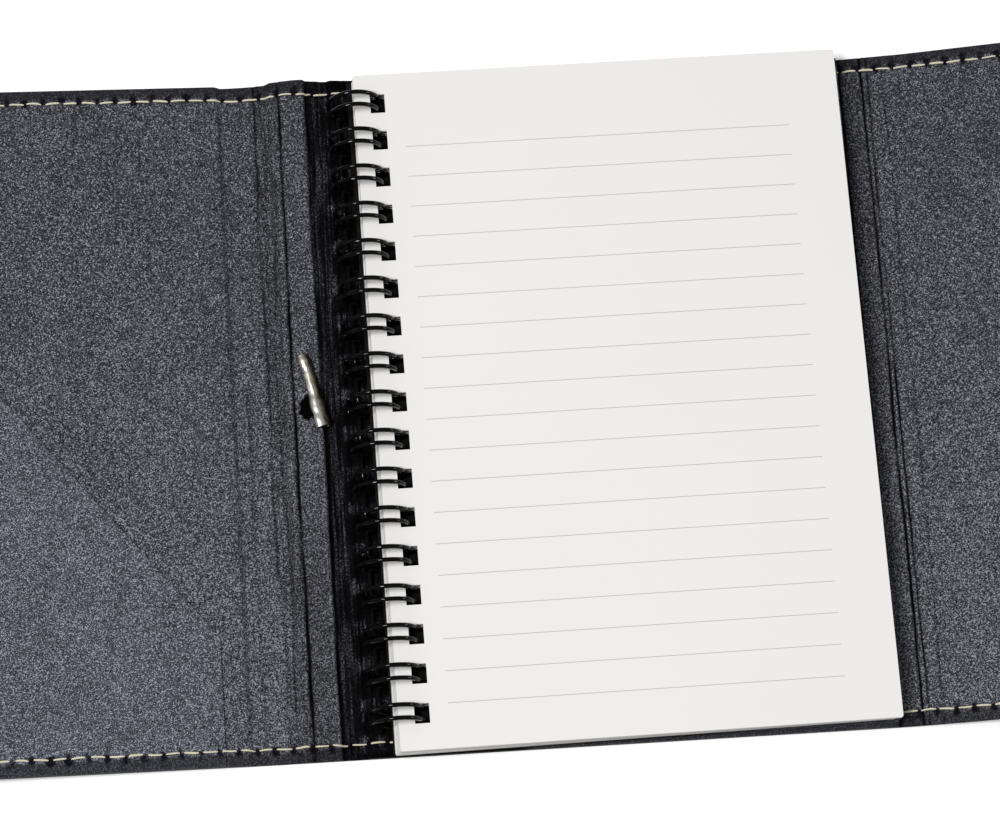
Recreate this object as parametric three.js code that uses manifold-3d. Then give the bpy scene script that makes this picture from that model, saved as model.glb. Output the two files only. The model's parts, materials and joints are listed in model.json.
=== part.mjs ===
// Refillable pocket notebook: a twin-loop bound pad in a soft wrap-around cover, lying open.
// Millimetres, +Z up. The origin is the middle of the back panel's underside. +X runs from the
// spine to the fore edge, +Y from the tail to the head of the page.
import * as THREE from 'three';
import { mergeVertices } from 'three/addons/utils/BufferGeometryUtils.js';
import Module from 'manifold-3d';

const wasm = await Module();
wasm.setup();

// ---- pad -------------------------------------------------------------------------------------
const SHEET_WIDTH = 107;
const SHEET_HEIGHT = 150;
const SHEET_CORNER = 1;
const PAD_SKEW = THREE.MathUtils.degToRad(0.5); // the pad lies slightly turned in the cover
const PAD_DROP = 0.2; // and slightly towards the tail
const TOP_SHEET_THICKNESS = 0.15;
const SHEET_BLOCK_THICKNESS = 1.32; // each of the three blocks of sheets under the top sheet
const SHEET_BLOCKS = ['lower_sheets', 'middle_sheets', 'upper_sheets'];
const SHEET_GAP = 0.05;
const PAD_BOARD_THICKNESS = 0.7;

// ---- twin-loop wire --------------------------------------------------------------------------
const HOLE_PITCH = 25.4 / 3;
const HEAD_HOLE_MARGIN = 6.75; // page head to the middle of the first hole
const HOLE_LENGTH = 4.3; // along the spine
const HOLE_WIDTH = 3.2;
const BOARD_HOLE_WIDTH = 4; // the backing board is punched wider, nearer its edge
const BOARD_HOLE_EDGE = 2.25;
const WIRE_DIAMETER = 1;
const RING_RADIUS = 5.5; // middle of the wire
const RING_SETOVER = 0.4; // page edge to the rings' middle
const HAIRPIN_HALF_WIDTH = 1.4;
const TIP_HALF_WIDTH = 0.78;
const WIRE_START = THREE.MathUtils.degToRad(-128); // where each loop leaves the spine of the comb
const WIRE_END = THREE.MathUtils.degToRad(207); // the closed tip of each loop
const TIP_TAPER_START = THREE.MathUtils.degToRad(188);
const WIRE_SIDES = 6;
const LOOP_STEPS = 12;
const BEND_STEPS = 4;
const WIRE_BEND = 0.75;

// ---- cover -----------------------------------------------------------------------------------
const OUTER_THICKNESS = 0.9;
const BOARD_THICKNESS = 1.2;
const LINING_THICKNESS = 0.7;
const LEAF_THICKNESS = 0.5; // the document pocket's leaf
const SLEEVE_THICKNESS = 1; // the sleeve that holds the pad's backing board
const LAYER_GAP = 0.05;
const COVER_OVERHANG = 0.7; // cover beyond the page at head and at tail
const FLAP_LENGTH = 55;
const STRIP_WIDTH = 5.8; // stiffening strip in the spine
const OUTER_CORNER = 4;
const BOARD_INSET = 4.6; // cover edge to the board inside it
const BOARD_PLAY = 0.15;
const FRONT_TILT = THREE.MathUtils.degToRad(4);
const GUSSET_TILT = THREE.MathUtils.degToRad(8);
const FLAP_TILT = THREE.MathUtils.degToRad(4); // more than the gusset's own tilt

// ---- clearances that let the cover close round the pad ---------------------------------------
const REST_GAP = 0.1; // wire on the lining
const BOARD_LIFT = 0.45; // backing board above the lowest part of the wire
const SPINE_CLEARANCE = 0.5; // closed spine to the loops
const FORE_EDGE_CLEARANCE = 0.3; // closed gusset to the sheets, and front panel to the gusset
const CLOSED_CLEARANCE = 0.2; // closed front panel to the loops and to the top sheet
const FOLD_MARGIN = 0.3; // beyond what two panels need to fold square

// ---- seams and pocket ------------------------------------------------------------------------
const SEAM_INSET = 3.2;
const THREAD_WIDTH = 0.5;
const THREAD_DEPTH = 0.35;
const SEAM_PLAY = 0.1;
const POCKET_MOUTH_SPINE = 7.9; // spine fold to the pocket's short upright edge
const POCKET_MOUTH_HEIGHT = 27.6; // tail to where the diagonal begins
const POCKET_SLOPE = 1.2226; // rise of the diagonal for each unit along the panel
const SLEEVE_SETBACK = 14; // page edge to the sleeve's mouth

// ---- closure toggle --------------------------------------------------------------------------
const BARB_LENGTH = 16.5;
const BARB_WIDTH = 3;
const BARB_HEIGHT = 1.6;
const BARB_SHEET = 0.35;
const BARB_SEAM = 0.5; // open seam along the underside
const BARB_LEAN = THREE.MathUtils.degToRad(13.9);
const BARB_FROM_CREASE = 1.6; // spine's inner crease to the middle of the toggle
const BARB_ABOVE_MIDDLE = 4.8; // cover's middle height to the middle of the toggle
const CORD_HOLE = 2.6;
const LINING_HOLE = 4.5;
const HOLE_FROM_BARB = 1.5;
const HOLE_BELOW_BARB = 4;
const FACETS = 20;

// ---- sizes that follow -----------------------------------------------------------------------
const AXIS_Z = OUTER_THICKNESS / 2; // the folds turn in the outer skin
const BOARD_BOTTOM = OUTER_THICKNESS + LAYER_GAP;
const LINING_BOTTOM = BOARD_BOTTOM + BOARD_THICKNESS + LAYER_GAP;
const PANEL_TOP = LINING_BOTTOM + LINING_THICKNESS;
const SOFT_TOP = BOARD_BOTTOM + LINING_THICKNESS; // where there is no board
const PANEL_INNER = PANEL_TOP - AXIS_Z;
const SOFT_INNER = SOFT_TOP - AXIS_Z;
const COVER_HEIGHT = SHEET_HEIGHT + 2 * COVER_OVERHANG;

const WIRE_RADIUS = WIRE_DIAMETER / 2;
const RING_OUTER = RING_RADIUS + WIRE_RADIUS;
const RING_Z = PANEL_TOP + REST_GAP + RING_OUTER;
const BOARD_OVER_WIRE = PANEL_TOP + REST_GAP + WIRE_DIAMETER + BOARD_LIFT;
const PAD_BOARD_BOTTOM = PANEL_TOP + REST_GAP;
const SLEEVE_BOTTOM = PAD_BOARD_BOTTOM + PAD_BOARD_THICKNESS + REST_GAP;
const BOARD_TOP = Math.max(SLEEVE_BOTTOM + SLEEVE_THICKNESS, BOARD_OVER_WIRE + PAD_BOARD_THICKNESS);
const SHEETS_BOTTOM = BOARD_TOP + REST_GAP;
const BLOCK_STEP = SHEET_BLOCK_THICKNESS + SHEET_GAP;
const TOP_SHEET_BOTTOM = SHEETS_BOTTOM + SHEET_BLOCKS.length * BLOCK_STEP;
const PAD_TOP = TOP_SHEET_BOTTOM + TOP_SHEET_THICKNESS;
const HOLE_EDGE = holeLeft(TOP_SHEET_BOTTOM, PAD_TOP, HOLE_WIDTH);
const HOLE_COUNT = Math.floor((SHEET_HEIGHT - 2 * HEAD_HOLE_MARGIN) / HOLE_PITCH) + 1;

const SKEW_DRIFT = Math.sin(PAD_SKEW) * SHEET_HEIGHT / 2;
const SPINE_SIDE = RING_OUTER + RING_SETOVER + SKEW_DRIFT + PANEL_INNER + SPINE_CLEARANCE;
const FORE_SIDE = SHEET_WIDTH + SKEW_DRIFT + SOFT_INNER + FORE_EDGE_CLEARANCE;
const BACK_WIDTH = SPINE_SIDE + FORE_SIDE; // from fold to fold
const SPINE_FOLD_X = -BACK_WIDTH / 2;
const FORE_FOLD_X = BACK_WIDTH / 2;
const PAGE_EDGE_X = SPINE_FOLD_X + SPINE_SIDE;

const OVER_PAD = CLOSED_CLEARANCE + LAYER_GAP + LEAF_THICKNESS;
const RING_TOP = Math.max(RING_Z + RING_OUTER, PAD_TOP);
const CLOSED_SLOPE = Math.atan((RING_TOP - PAD_TOP) / SHEET_WIDTH);
const SPINE_WIDTH = RING_TOP + OVER_PAD + SPINE_SIDE * Math.tan(CLOSED_SLOPE)
  + PANEL_INNER / Math.cos(CLOSED_SLOPE) - AXIS_Z;
const FRONT_WIDTH = (BACK_WIDTH - SOFT_INNER - FORE_EDGE_CLEARANCE) / Math.cos(CLOSED_SLOPE);
const FRONT_EDGE_TOP = AXIS_Z + SPINE_WIDTH + AXIS_Z / Math.cos(CLOSED_SLOPE)
  - FRONT_WIDTH * Math.sin(CLOSED_SLOPE);
const GUSSET_WIDTH = FRONT_EDGE_TOP + CLOSED_CLEARANCE + SOFT_INNER - AXIS_Z;
const BOARDED_FOLD = PANEL_INNER + FOLD_MARGIN; // fold to the start of a boarded panel
const SOFT_FOLD = SOFT_INNER + FOLD_MARGIN;
const TOGGLE_FOLD = BOARDED_FOLD + LAYER_GAP + BARB_HEIGHT; // leaves room for the folded toggle

// where a hole of the given width must start for a leaf between z0 and z1 to hang on the rings,
// measured from the top sheet's spine edge
function holeLeft(z0, z1, width) {
  const low = Math.abs(z0 - RING_Z);
  const high = Math.abs(z1 - RING_Z);
  const inner = Math.sqrt((RING_RADIUS - WIRE_RADIUS) ** 2 - Math.max(low, high) ** 2);
  const outer = Math.sqrt(RING_OUTER ** 2 - Math.min(low, high) ** 2);
  return (inner + outer - width) / 2 - RING_SETOVER;
}

// ---- materials -------------------------------------------------------------------------------
const leather = new THREE.MeshStandardMaterial({ color: 0x26282c, roughness: 0.55, metalness: 0 });
const lining = new THREE.MeshStandardMaterial({ color: 0x34373d, roughness: 0.6, metalness: 0.1 });
const pocketSkin = new THREE.MeshStandardMaterial({ color: 0x3b3f47, roughness: 0.5, metalness: 0.1 });
const board = new THREE.MeshStandardMaterial({ color: 0x8a7f70, roughness: 0.9, metalness: 0 });
const blackCard = new THREE.MeshStandardMaterial({ color: 0x1b1b1c, roughness: 0.8, metalness: 0 });
const paper = new THREE.MeshStandardMaterial({ color: 0xecebea, roughness: 0.85, metalness: 0 });
const thread = new THREE.MeshStandardMaterial({ color: 0xd9cfa6, roughness: 0.8, metalness: 0 });
const wireCoat = new THREE.MeshStandardMaterial({ color: 0x0c0c0d, roughness: 0.25, metalness: 0 });
const nickel = new THREE.MeshStandardMaterial({ color: 0xb9bab8, roughness: 0.3, metalness: 1 });

// ---- helpers ---------------------------------------------------------------------------------
function named(name, geometry, material, parent) {
  const mesh = new THREE.Mesh(geometry, material);
  mesh.name = name;
  parent.add(mesh);
  return mesh;
}

// a flat outline in X and Y, raised from z0 to z1
function raised(outline, z0, z1) {
  const geometry = new THREE.ExtrudeGeometry(outline, {
    depth: z1 - z0, bevelEnabled: false, curveSegments: FACETS / 4,
  });
  return geometry.translate(0, 0, z0);
}

// an outline in X and Z, drawn out along Y over the given length, centred
function drawn(points, length) {
  const outline = new THREE.Shape(points.map(([x, z]) => new THREE.Vector2(x, z)));
  const geometry = new THREE.ExtrudeGeometry(outline, { depth: length, bevelEnabled: false });
  return geometry.translate(0, 0, -length / 2).rotateX(Math.PI / 2);
}

// a rectangle whose left and right corners may be rounded
function rectangle(x0, x1, y0, y1, leftRadius = 0, rightRadius = 0) {
  const s = new THREE.Shape();
  const quarter = Math.PI / 2;
  s.moveTo(x0 + leftRadius, y0);
  s.lineTo(x1 - rightRadius, y0);
  if (rightRadius) s.absarc(x1 - rightRadius, y0 + rightRadius, rightRadius, -quarter, 0);
  s.lineTo(x1, y1 - rightRadius);
  if (rightRadius) s.absarc(x1 - rightRadius, y1 - rightRadius, rightRadius, 0, quarter);
  s.lineTo(x0 + leftRadius, y1);
  if (leftRadius) s.absarc(x0 + leftRadius, y1 - leftRadius, leftRadius, quarter, 2 * quarter);
  s.lineTo(x0, y0 + leftRadius);
  if (leftRadius) s.absarc(x0 + leftRadius, y0 + leftRadius, leftRadius, 2 * quarter, 3 * quarter);
  return s;
}

function solid(geometry) {
  const bare = geometry.clone();
  bare.deleteAttribute('normal');
  bare.deleteAttribute('uv');
  const merged = mergeVertices(bare);
  return new wasm.Manifold(new wasm.Mesh({
    numProp: 3,
    vertProperties: new Float32Array(merged.attributes.position.array),
    triVerts: new Uint32Array(merged.index.array),
  }));
}

// what is left of a geometry after cutting others away
function cut(geometry, ...cutters) {
  const left = cutters.reduce((body, cutter) => body.subtract(solid(cutter)), solid(geometry));
  const mesh = left.getMesh();
  const result = new THREE.BufferGeometry();
  result.setAttribute('position', new THREE.BufferAttribute(mesh.vertProperties, 3));
  result.setIndex(new THREE.BufferAttribute(mesh.triVerts, 1));
  result.computeVertexNormals();
  return result;
}

// a group whose fold lies along its own Y axis, tilted about it; positive lifts the -X side
function foldGroup(x, z, tilt, parent) {
  const group = new THREE.Group();
  group.position.set(x, 0, z);
  group.rotation.y = tilt;
  parent.add(group);
  return group;
}

// grooves that the head and tail seams lie in, and the threads in them
function seamGrooves(x0, x1, top) {
  const y = COVER_HEIGHT / 2 - SEAM_INSET;
  const half = THREAD_WIDTH / 2 + SEAM_PLAY;
  const past = 1;
  return [y, -y].map((at) => raised(
    rectangle(x0 - past, x1 + past, at - half, at + half),
    top - THREAD_DEPTH - SEAM_PLAY, top + past,
  ));
}

function seamThreads(label, x0, x1, top, parent) {
  const y = COVER_HEIGHT / 2 - SEAM_INSET;
  const half = THREAD_WIDTH / 2;
  for (const [end, at] of [['head', y], ['tail', -y]]) {
    const bar = rectangle(x0 + SEAM_PLAY, x1 - SEAM_PLAY, at - half, at + half);
    named(`${end}_seam_${label}`, raised(bar, top - THREAD_DEPTH, top), thread, parent);
  }
}

// outer skin, board and lining of a boarded panel between x0 and x1, z from the fold's axis
function boardedPanel(label, x0, x1, leftRadius, parent) {
  const y = COVER_HEIGHT / 2;
  const outline = rectangle(x0, x1, -y, y, leftRadius);
  const boardY = y - BOARD_INSET;
  const boardX0 = x0 + BOARD_INSET;
  const boardX1 = x1 - BOARD_PLAY - LINING_THICKNESS;
  const room = rectangle(boardX0 - BOARD_PLAY, boardX1 + BOARD_PLAY,
    -boardY - BOARD_PLAY, boardY + BOARD_PLAY);
  const card = rectangle(boardX0, boardX1, -boardY, boardY);
  const z = (height) => height - AXIS_Z;
  named(`${label}_outer`, raised(outline, z(0), z(OUTER_THICKNESS)), leather, parent);
  named(`${label}_board`, raised(card, z(BOARD_BOTTOM), z(BOARD_BOTTOM + BOARD_THICKNESS)), board, parent);
  const skin = cut(
    raised(outline, z(BOARD_BOTTOM), z(PANEL_TOP)),
    raised(room, z(BOARD_BOTTOM) - 1, z(LINING_BOTTOM)),
    ...seamGrooves(x0, x1, z(PANEL_TOP)),
  );
  named(`${label}_lining`, skin, lining, parent);
  seamThreads(label, x0 + leftRadius / 2, x1, z(PANEL_TOP), parent);
}

// outer skin and lining of a panel with no board
function softPanel(label, x0, x1, rightRadius, parent) {
  const y = COVER_HEIGHT / 2;
  const outline = rectangle(x0, x1, -y, y, 0, rightRadius);
  const z = (height) => height - AXIS_Z;
  named(`${label}_outer`, raised(outline, z(0), z(OUTER_THICKNESS)), leather, parent);
  const skin = cut(
    raised(outline, z(BOARD_BOTTOM), z(SOFT_TOP)),
    ...seamGrooves(x0, x1, z(SOFT_TOP)),
  );
  named(`${label}_lining`, skin, lining, parent);
  seamThreads(label, x0, x1 - rightRadius / 2, z(SOFT_TOP), parent);
}

// the flexible skin across a fold: reach on the side of the parent, then reach along the tilt
function foldSkin(name, side, parentReach, childReach, tilt, parent) {
  const low = -AXIS_Z;
  const high = SOFT_TOP - AXIS_Z;
  const a = parentReach - LAYER_GAP;
  const b = childReach - LAYER_GAP;
  const [c, s] = [Math.cos(tilt), Math.sin(tilt)];
  const half = Math.tan(tilt / 2);
  const points = [
    [-a, low], [-low * half, low], [b * c - low * s, b * s + low * c],
    [b * c - high * s, b * s + high * c], [-high * half, high], [-a, high],
  ];
  if (side > 0) named(name, drawn(points, COVER_HEIGHT), leather, parent);
  else named(name, drawn(points.map(([x, z]) => [-x, z]).reverse(), COVER_HEIGHT), leather, parent);
}

// ---- cover -----------------------------------------------------------------------------------
const notebook = new THREE.Group();

const back = foldGroup(0, AXIS_Z, 0, notebook);
boardedPanel('back', SPINE_FOLD_X + TOGGLE_FOLD, FORE_FOLD_X - SOFT_FOLD, 0, back);

const spineFold = foldGroup(SPINE_FOLD_X, AXIS_Z, 0, notebook);
foldSkin('spine_fold_skin', -1, TOGGLE_FOLD, SOFT_FOLD, 0, spineFold);
const spineRight = -SOFT_FOLD;
const spineLeft = SOFT_FOLD - SPINE_WIDTH;
const stripRight = spineRight - BOARD_PLAY - LINING_THICKNESS;
const stripLeft = stripRight - STRIP_WIDTH;

function spinePieces(parent) {
  const y = COVER_HEIGHT / 2;
  const z = (height) => height - AXIS_Z;
  const holeX = barbX - HOLE_FROM_BARB;
  const holeY = barbY - HOLE_BELOW_BARB;
  const bore = (radius) => {
    const circle = new THREE.Shape();
    circle.absarc(holeX, holeY, radius, 0, 2 * Math.PI);
    return raised(circle, -PANEL_TOP, 2 * PANEL_TOP);
  };
  const skin = raised(rectangle(spineLeft, spineRight, -y, y), z(0), z(OUTER_THICKNESS));
  named('spine_outer', cut(skin, bore(CORD_HOLE / 2)), leather, parent);
  const card = rectangle(stripLeft, stripRight, BOARD_INSET - y, y - BOARD_INSET);
  const strip = raised(card, z(BOARD_BOTTOM), z(BOARD_BOTTOM + BOARD_THICKNESS));
  named('spine_strip', cut(strip, bore(CORD_HOLE / 2)), board, parent);
  const shoulder = stripLeft - BOARD_PLAY - LINING_THICKNESS;
  const foot = shoulder - BOARD_THICKNESS;
  const cover = drawn([
    [spineLeft, z(BOARD_BOTTOM)], [stripLeft - BOARD_PLAY, z(BOARD_BOTTOM)],
    [stripLeft - BOARD_PLAY, z(LINING_BOTTOM)], [stripRight + BOARD_PLAY, z(LINING_BOTTOM)],
    [stripRight + BOARD_PLAY, z(BOARD_BOTTOM)], [spineRight, z(BOARD_BOTTOM)],
    [spineRight, z(PANEL_TOP)], [shoulder, z(PANEL_TOP)], [foot, z(SOFT_TOP)],
    [spineLeft, z(SOFT_TOP)],
  ], COVER_HEIGHT);
  const grooves = [
    ...seamGrooves(foot, spineRight, z(PANEL_TOP)),
    ...seamGrooves(spineLeft, foot, z(SOFT_TOP)),
  ];
  named('spine_lining', cut(cover, bore(LINING_HOLE / 2), ...grooves), lining, parent);
  seamThreads('spine_strip', shoulder, spineRight, z(PANEL_TOP), parent);
  seamThreads('spine_soft', spineLeft, foot, z(SOFT_TOP), parent);
}

// a flattened tube of thin sheet, open along a seam underneath
function toggle(name, parent) {
  const [rx, rz] = [BARB_WIDTH / 2, BARB_HEIGHT / 2];
  const gap = Math.asin(BARB_SEAM / BARB_WIDTH);
  const ring = (inset, from, to) => Array.from({ length: FACETS + 1 }, (_, i) => {
    const angle = from + (to - from) * i / FACETS - Math.PI / 2;
    return [(rx - inset) * Math.cos(angle), (rz - inset) * Math.sin(angle)];
  });
  const section = [...ring(0, gap, 2 * Math.PI - gap), ...ring(BARB_SHEET, 2 * Math.PI - gap, gap)];
  const mesh = named(name, drawn(section, BARB_LENGTH), nickel, parent);
  mesh.position.set(barbX, barbY, PANEL_TOP - AXIS_Z + LAYER_GAP + rz);
  mesh.rotation.z = BARB_LEAN;
}

const barbX = spineRight - BARB_FROM_CREASE;
const barbY = BARB_ABOVE_MIDDLE;
spinePieces(spineFold);
toggle('closure_toggle', spineFold);

const frontFold = foldGroup(-SPINE_WIDTH, 0, FRONT_TILT, spineFold);
foldSkin('front_fold_skin', -1, SOFT_FOLD, BOARDED_FOLD, FRONT_TILT,
  foldGroup(-SPINE_WIDTH, 0, 0, spineFold));
boardedPanel('front', -FRONT_WIDTH, -BOARDED_FOLD, OUTER_CORNER, frontFold);

// one leaf across the lower outer part of the front panel, with a diagonal mouth
function documentPocket(parent) {
  const y = COVER_HEIGHT / 2;
  const reach = COVER_HEIGHT - POCKET_MOUTH_HEIGHT;
  const mouthTop = -POCKET_MOUTH_SPINE - reach / POCKET_SLOPE;
  const leaf = new THREE.Shape();
  leaf.moveTo(-POCKET_MOUTH_SPINE, -y);
  leaf.lineTo(-POCKET_MOUTH_SPINE, POCKET_MOUTH_HEIGHT - y);
  if (mouthTop > -FRONT_WIDTH + OUTER_CORNER) {
    leaf.lineTo(mouthTop, y);
    leaf.lineTo(-FRONT_WIDTH + OUTER_CORNER, y);
    leaf.absarc(-FRONT_WIDTH + OUTER_CORNER, y - OUTER_CORNER, OUTER_CORNER, Math.PI / 2, Math.PI);
  } else {
    const edge = -FRONT_WIDTH;
    leaf.lineTo(edge, POCKET_MOUTH_HEIGHT - y + (-POCKET_MOUTH_SPINE - edge) * POCKET_SLOPE);
  }
  leaf.lineTo(-FRONT_WIDTH, OUTER_CORNER - y);
  leaf.absarc(-FRONT_WIDTH + OUTER_CORNER, OUTER_CORNER - y, OUTER_CORNER, Math.PI, 1.5 * Math.PI);
  const bottom = PANEL_TOP - AXIS_Z + LAYER_GAP;
  named('document_pocket', raised(leaf, bottom, bottom + LEAF_THICKNESS), pocketSkin, parent);
}
documentPocket(frontFold);

const gussetFold = foldGroup(FORE_FOLD_X, AXIS_Z, -GUSSET_TILT, notebook);
foldSkin('fore_edge_fold_skin', 1, SOFT_FOLD, SOFT_FOLD, GUSSET_TILT,
  foldGroup(FORE_FOLD_X, AXIS_Z, 0, notebook));
softPanel('gusset', SOFT_FOLD, GUSSET_WIDTH - SOFT_FOLD, 0, gussetFold);

const flapFold = foldGroup(GUSSET_WIDTH, 0, -FLAP_TILT, gussetFold);
foldSkin('flap_fold_skin', 1, SOFT_FOLD, SOFT_FOLD, FLAP_TILT,
  foldGroup(GUSSET_WIDTH, 0, 0, gussetFold));
softPanel('flap', SOFT_FOLD, FLAP_LENGTH, OUTER_CORNER, flapFold);

// the sleeve's leaf turns down to the lining along the fore edge
function padSleeve(parent) {
  const x0 = PAGE_EDGE_X + SLEEVE_SETBACK;
  const x1 = FORE_FOLD_X - SOFT_FOLD;
  const wall = x1 - LINING_THICKNESS;
  const foot = PANEL_TOP + LAYER_GAP - AXIS_Z;
  const under = SLEEVE_BOTTOM - AXIS_Z;
  const over = under + SLEEVE_THICKNESS;
  const section = [[x0, under], [wall, under], [wall, foot], [x1, foot], [x1, over], [x0, over]];
  named('pad_sleeve', drawn(section, SHEET_HEIGHT), pocketSkin, parent);
}
padSleeve(back);

// ---- pad -------------------------------------------------------------------------------------
// the pad turns about its own middle; inside its group X runs from the page's spine edge
const padTurn = new THREE.Group();
padTurn.position.set(PAGE_EDGE_X + SHEET_WIDTH / 2, -PAD_DROP, 0);
padTurn.rotation.z = PAD_SKEW;
notebook.add(padTurn);
const pad = new THREE.Group();
pad.position.x = -SHEET_WIDTH / 2;
padTurn.add(pad);

const holeCentres = Array.from({ length: HOLE_COUNT },
  (_, i) => SHEET_HEIGHT / 2 - HEAD_HOLE_MARGIN - i * HOLE_PITCH);

// one leaf or block of leaves with its row of square holes
function sheet(name, z0, z1) {
  const half = HOLE_LENGTH / 2;
  const holeX = holeLeft(z0, z1, HOLE_WIDTH);
  const left = holeX - HOLE_EDGE;
  const outline = rectangle(left, left + SHEET_WIDTH, -SHEET_HEIGHT / 2, SHEET_HEIGHT / 2,
    SHEET_CORNER, SHEET_CORNER);
  for (const y of holeCentres) {
    outline.holes.push(rectangle(holeX, holeX + HOLE_WIDTH, y - half, y + half));
  }
  named(name, raised(outline, z0, z1), paper, pad);
}

SHEET_BLOCKS.forEach((name, i) => {
  const z0 = SHEETS_BOTTOM + i * BLOCK_STEP;
  sheet(name, z0, z0 + SHEET_BLOCK_THICKNESS);
});
sheet('top_sheet', TOP_SHEET_BOTTOM, PAD_TOP);

// the backing board rides over the wire, then drops into the sleeve
function padBoard() {
  const holeX = holeLeft(BOARD_OVER_WIRE, BOARD_OVER_WIRE + PAD_BOARD_THICKNESS, BOARD_HOLE_WIDTH);
  const left = holeX - BOARD_HOLE_EDGE;
  const right = left + SHEET_WIDTH;
  const bend = holeX + BOARD_HOLE_WIDTH + 1;
  const drop = BOARD_OVER_WIRE - PAD_BOARD_BOTTOM;
  const landed = SLEEVE_SETBACK - SKEW_DRIFT - 1;
  const t = PAD_BOARD_THICKNESS;
  const card = drawn([
    [left, BOARD_OVER_WIRE], [bend, BOARD_OVER_WIRE], [landed, PAD_BOARD_BOTTOM],
    [right, PAD_BOARD_BOTTOM], [right, PAD_BOARD_BOTTOM + t], [landed, PAD_BOARD_BOTTOM + t],
    [bend, PAD_BOARD_BOTTOM + drop + t], [left, PAD_BOARD_BOTTOM + drop + t],
  ], SHEET_HEIGHT);
  const half = HOLE_LENGTH / 2;
  const holes = holeCentres.map((y) => raised(
    rectangle(holeX, holeX + BOARD_HOLE_WIDTH, y - half, y + half), 0, 2 * BOARD_OVER_WIRE,
  ));
  named('pad_board', cut(card, ...holes), blackCard, pad);
}
padBoard();

// ---- twin-loop wire --------------------------------------------------------------------------
// a straight-sided path that keeps its own points as the steps of the tube
class PointPath extends THREE.Curve {
  constructor(points) {
    super();
    this.points = points;
  }

  getPoint(t, target = new THREE.Vector3()) {
    const at = t * (this.points.length - 1);
    const i = Math.min(Math.floor(at + 1e-9), this.points.length - 2);
    return target.lerpVectors(this.points[i], this.points[i + 1], at - i);
  }

  getTangent(t, target = new THREE.Vector3()) {
    const i = Math.round(t * (this.points.length - 1));
    const before = this.points[Math.max(i - 1, 0)];
    const after = this.points[Math.min(i + 1, this.points.length - 1)];
    return target.subVectors(after, before).normalize();
  }

  getUtoTmapping(u) {
    return u;
  }
}

// a point on the loops' circle, seen along the spine
function onRing(angle, y) {
  const x = RING_RADIUS * Math.cos(angle) - RING_SETOVER;
  return new THREE.Vector3(x, y, RING_Z + RING_RADIUS * Math.sin(angle));
}

// half the distance between a loop's two wires: parallel, then drawn in towards the tip
function halfWidth(angle) {
  const share = THREE.MathUtils.smoothstep(angle, TIP_TAPER_START, WIRE_END);
  return THREE.MathUtils.lerp(HAIRPIN_HALF_WIDTH, TIP_HALF_WIDTH, share);
}

// one hairpin from the comb's spine, round the ring to its tip and back
function hairpin(y) {
  const bend = WIRE_BEND / RING_RADIUS;
  const up = [];
  for (let i = 0; i <= LOOP_STEPS; i += 1) {
    const angle = WIRE_START + bend + (WIRE_END - WIRE_START - bend) * i / LOOP_STEPS;
    up.push([angle, halfWidth(angle)]);
  }
  const root = Array.from({ length: BEND_STEPS - 1 }, (_, i) => {
    const turn = Math.PI / 2 * (i + 1) / BEND_STEPS;
    return [WIRE_START + bend * (1 - Math.sin(Math.PI / 2 - turn)),
      HAIRPIN_HALF_WIDTH + WIRE_BEND * (1 - Math.sin(turn))];
  });
  const leg = [...root, ...up];
  const tip = Array.from({ length: BEND_STEPS - 1 }, (_, i) => {
    const turn = Math.PI * (i + 1) / BEND_STEPS;
    return onRing(WIRE_END + Math.sin(turn) * TIP_HALF_WIDTH / RING_RADIUS,
      y + TIP_HALF_WIDTH * Math.cos(turn));
  });
  return [
    ...leg.map(([angle, half]) => onRing(angle, y + half)),
    ...tip,
    ...leg.reverse().map(([angle, half]) => onRing(angle, y - half)),
  ];
}

function loopWire() {
  const points = holeCentres.flatMap(hairpin);
  const reach = HAIRPIN_HALF_WIDTH + 2 * WIRE_BEND;
  points.unshift(onRing(WIRE_START, holeCentres[0] + reach));
  points.push(onRing(WIRE_START, holeCentres[holeCentres.length - 1] - reach));
  const section = new THREE.Shape(Array.from({ length: WIRE_SIDES }, (_, i) => {
    const angle = 2 * Math.PI * (i + 0.5) / WIRE_SIDES;
    return new THREE.Vector2(WIRE_RADIUS * Math.cos(angle), WIRE_RADIUS * Math.sin(angle));
  }));
  const tube = new THREE.ExtrudeGeometry(section, {
    steps: points.length - 1, extrudePath: new PointPath(points), bevelEnabled: false,
  });
  named('twin_loop_wire', tube, wireCoat, pad);
}
loopWire();

export default notebook;
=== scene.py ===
# %% [markdown]
# # A pocket notebook, lying open
# The real object is a twin-loop bound pad held in a soft wrap-around cover. The cover is one long
# strip of black leather with a speckled lining. Two panels are stiffened with board, and four
# folds let it close round the pad.
#
# This lesson dresses a imported CAD model of that notebook. The CAD model gives every size and every
# moving body. We start by loading it, because all the pieces made here take their places from it.

# %% Load the imported model
import json
import math
import random

import bmesh
import bpy
from mathutils import Euler, Matrix, Vector, noise


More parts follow.
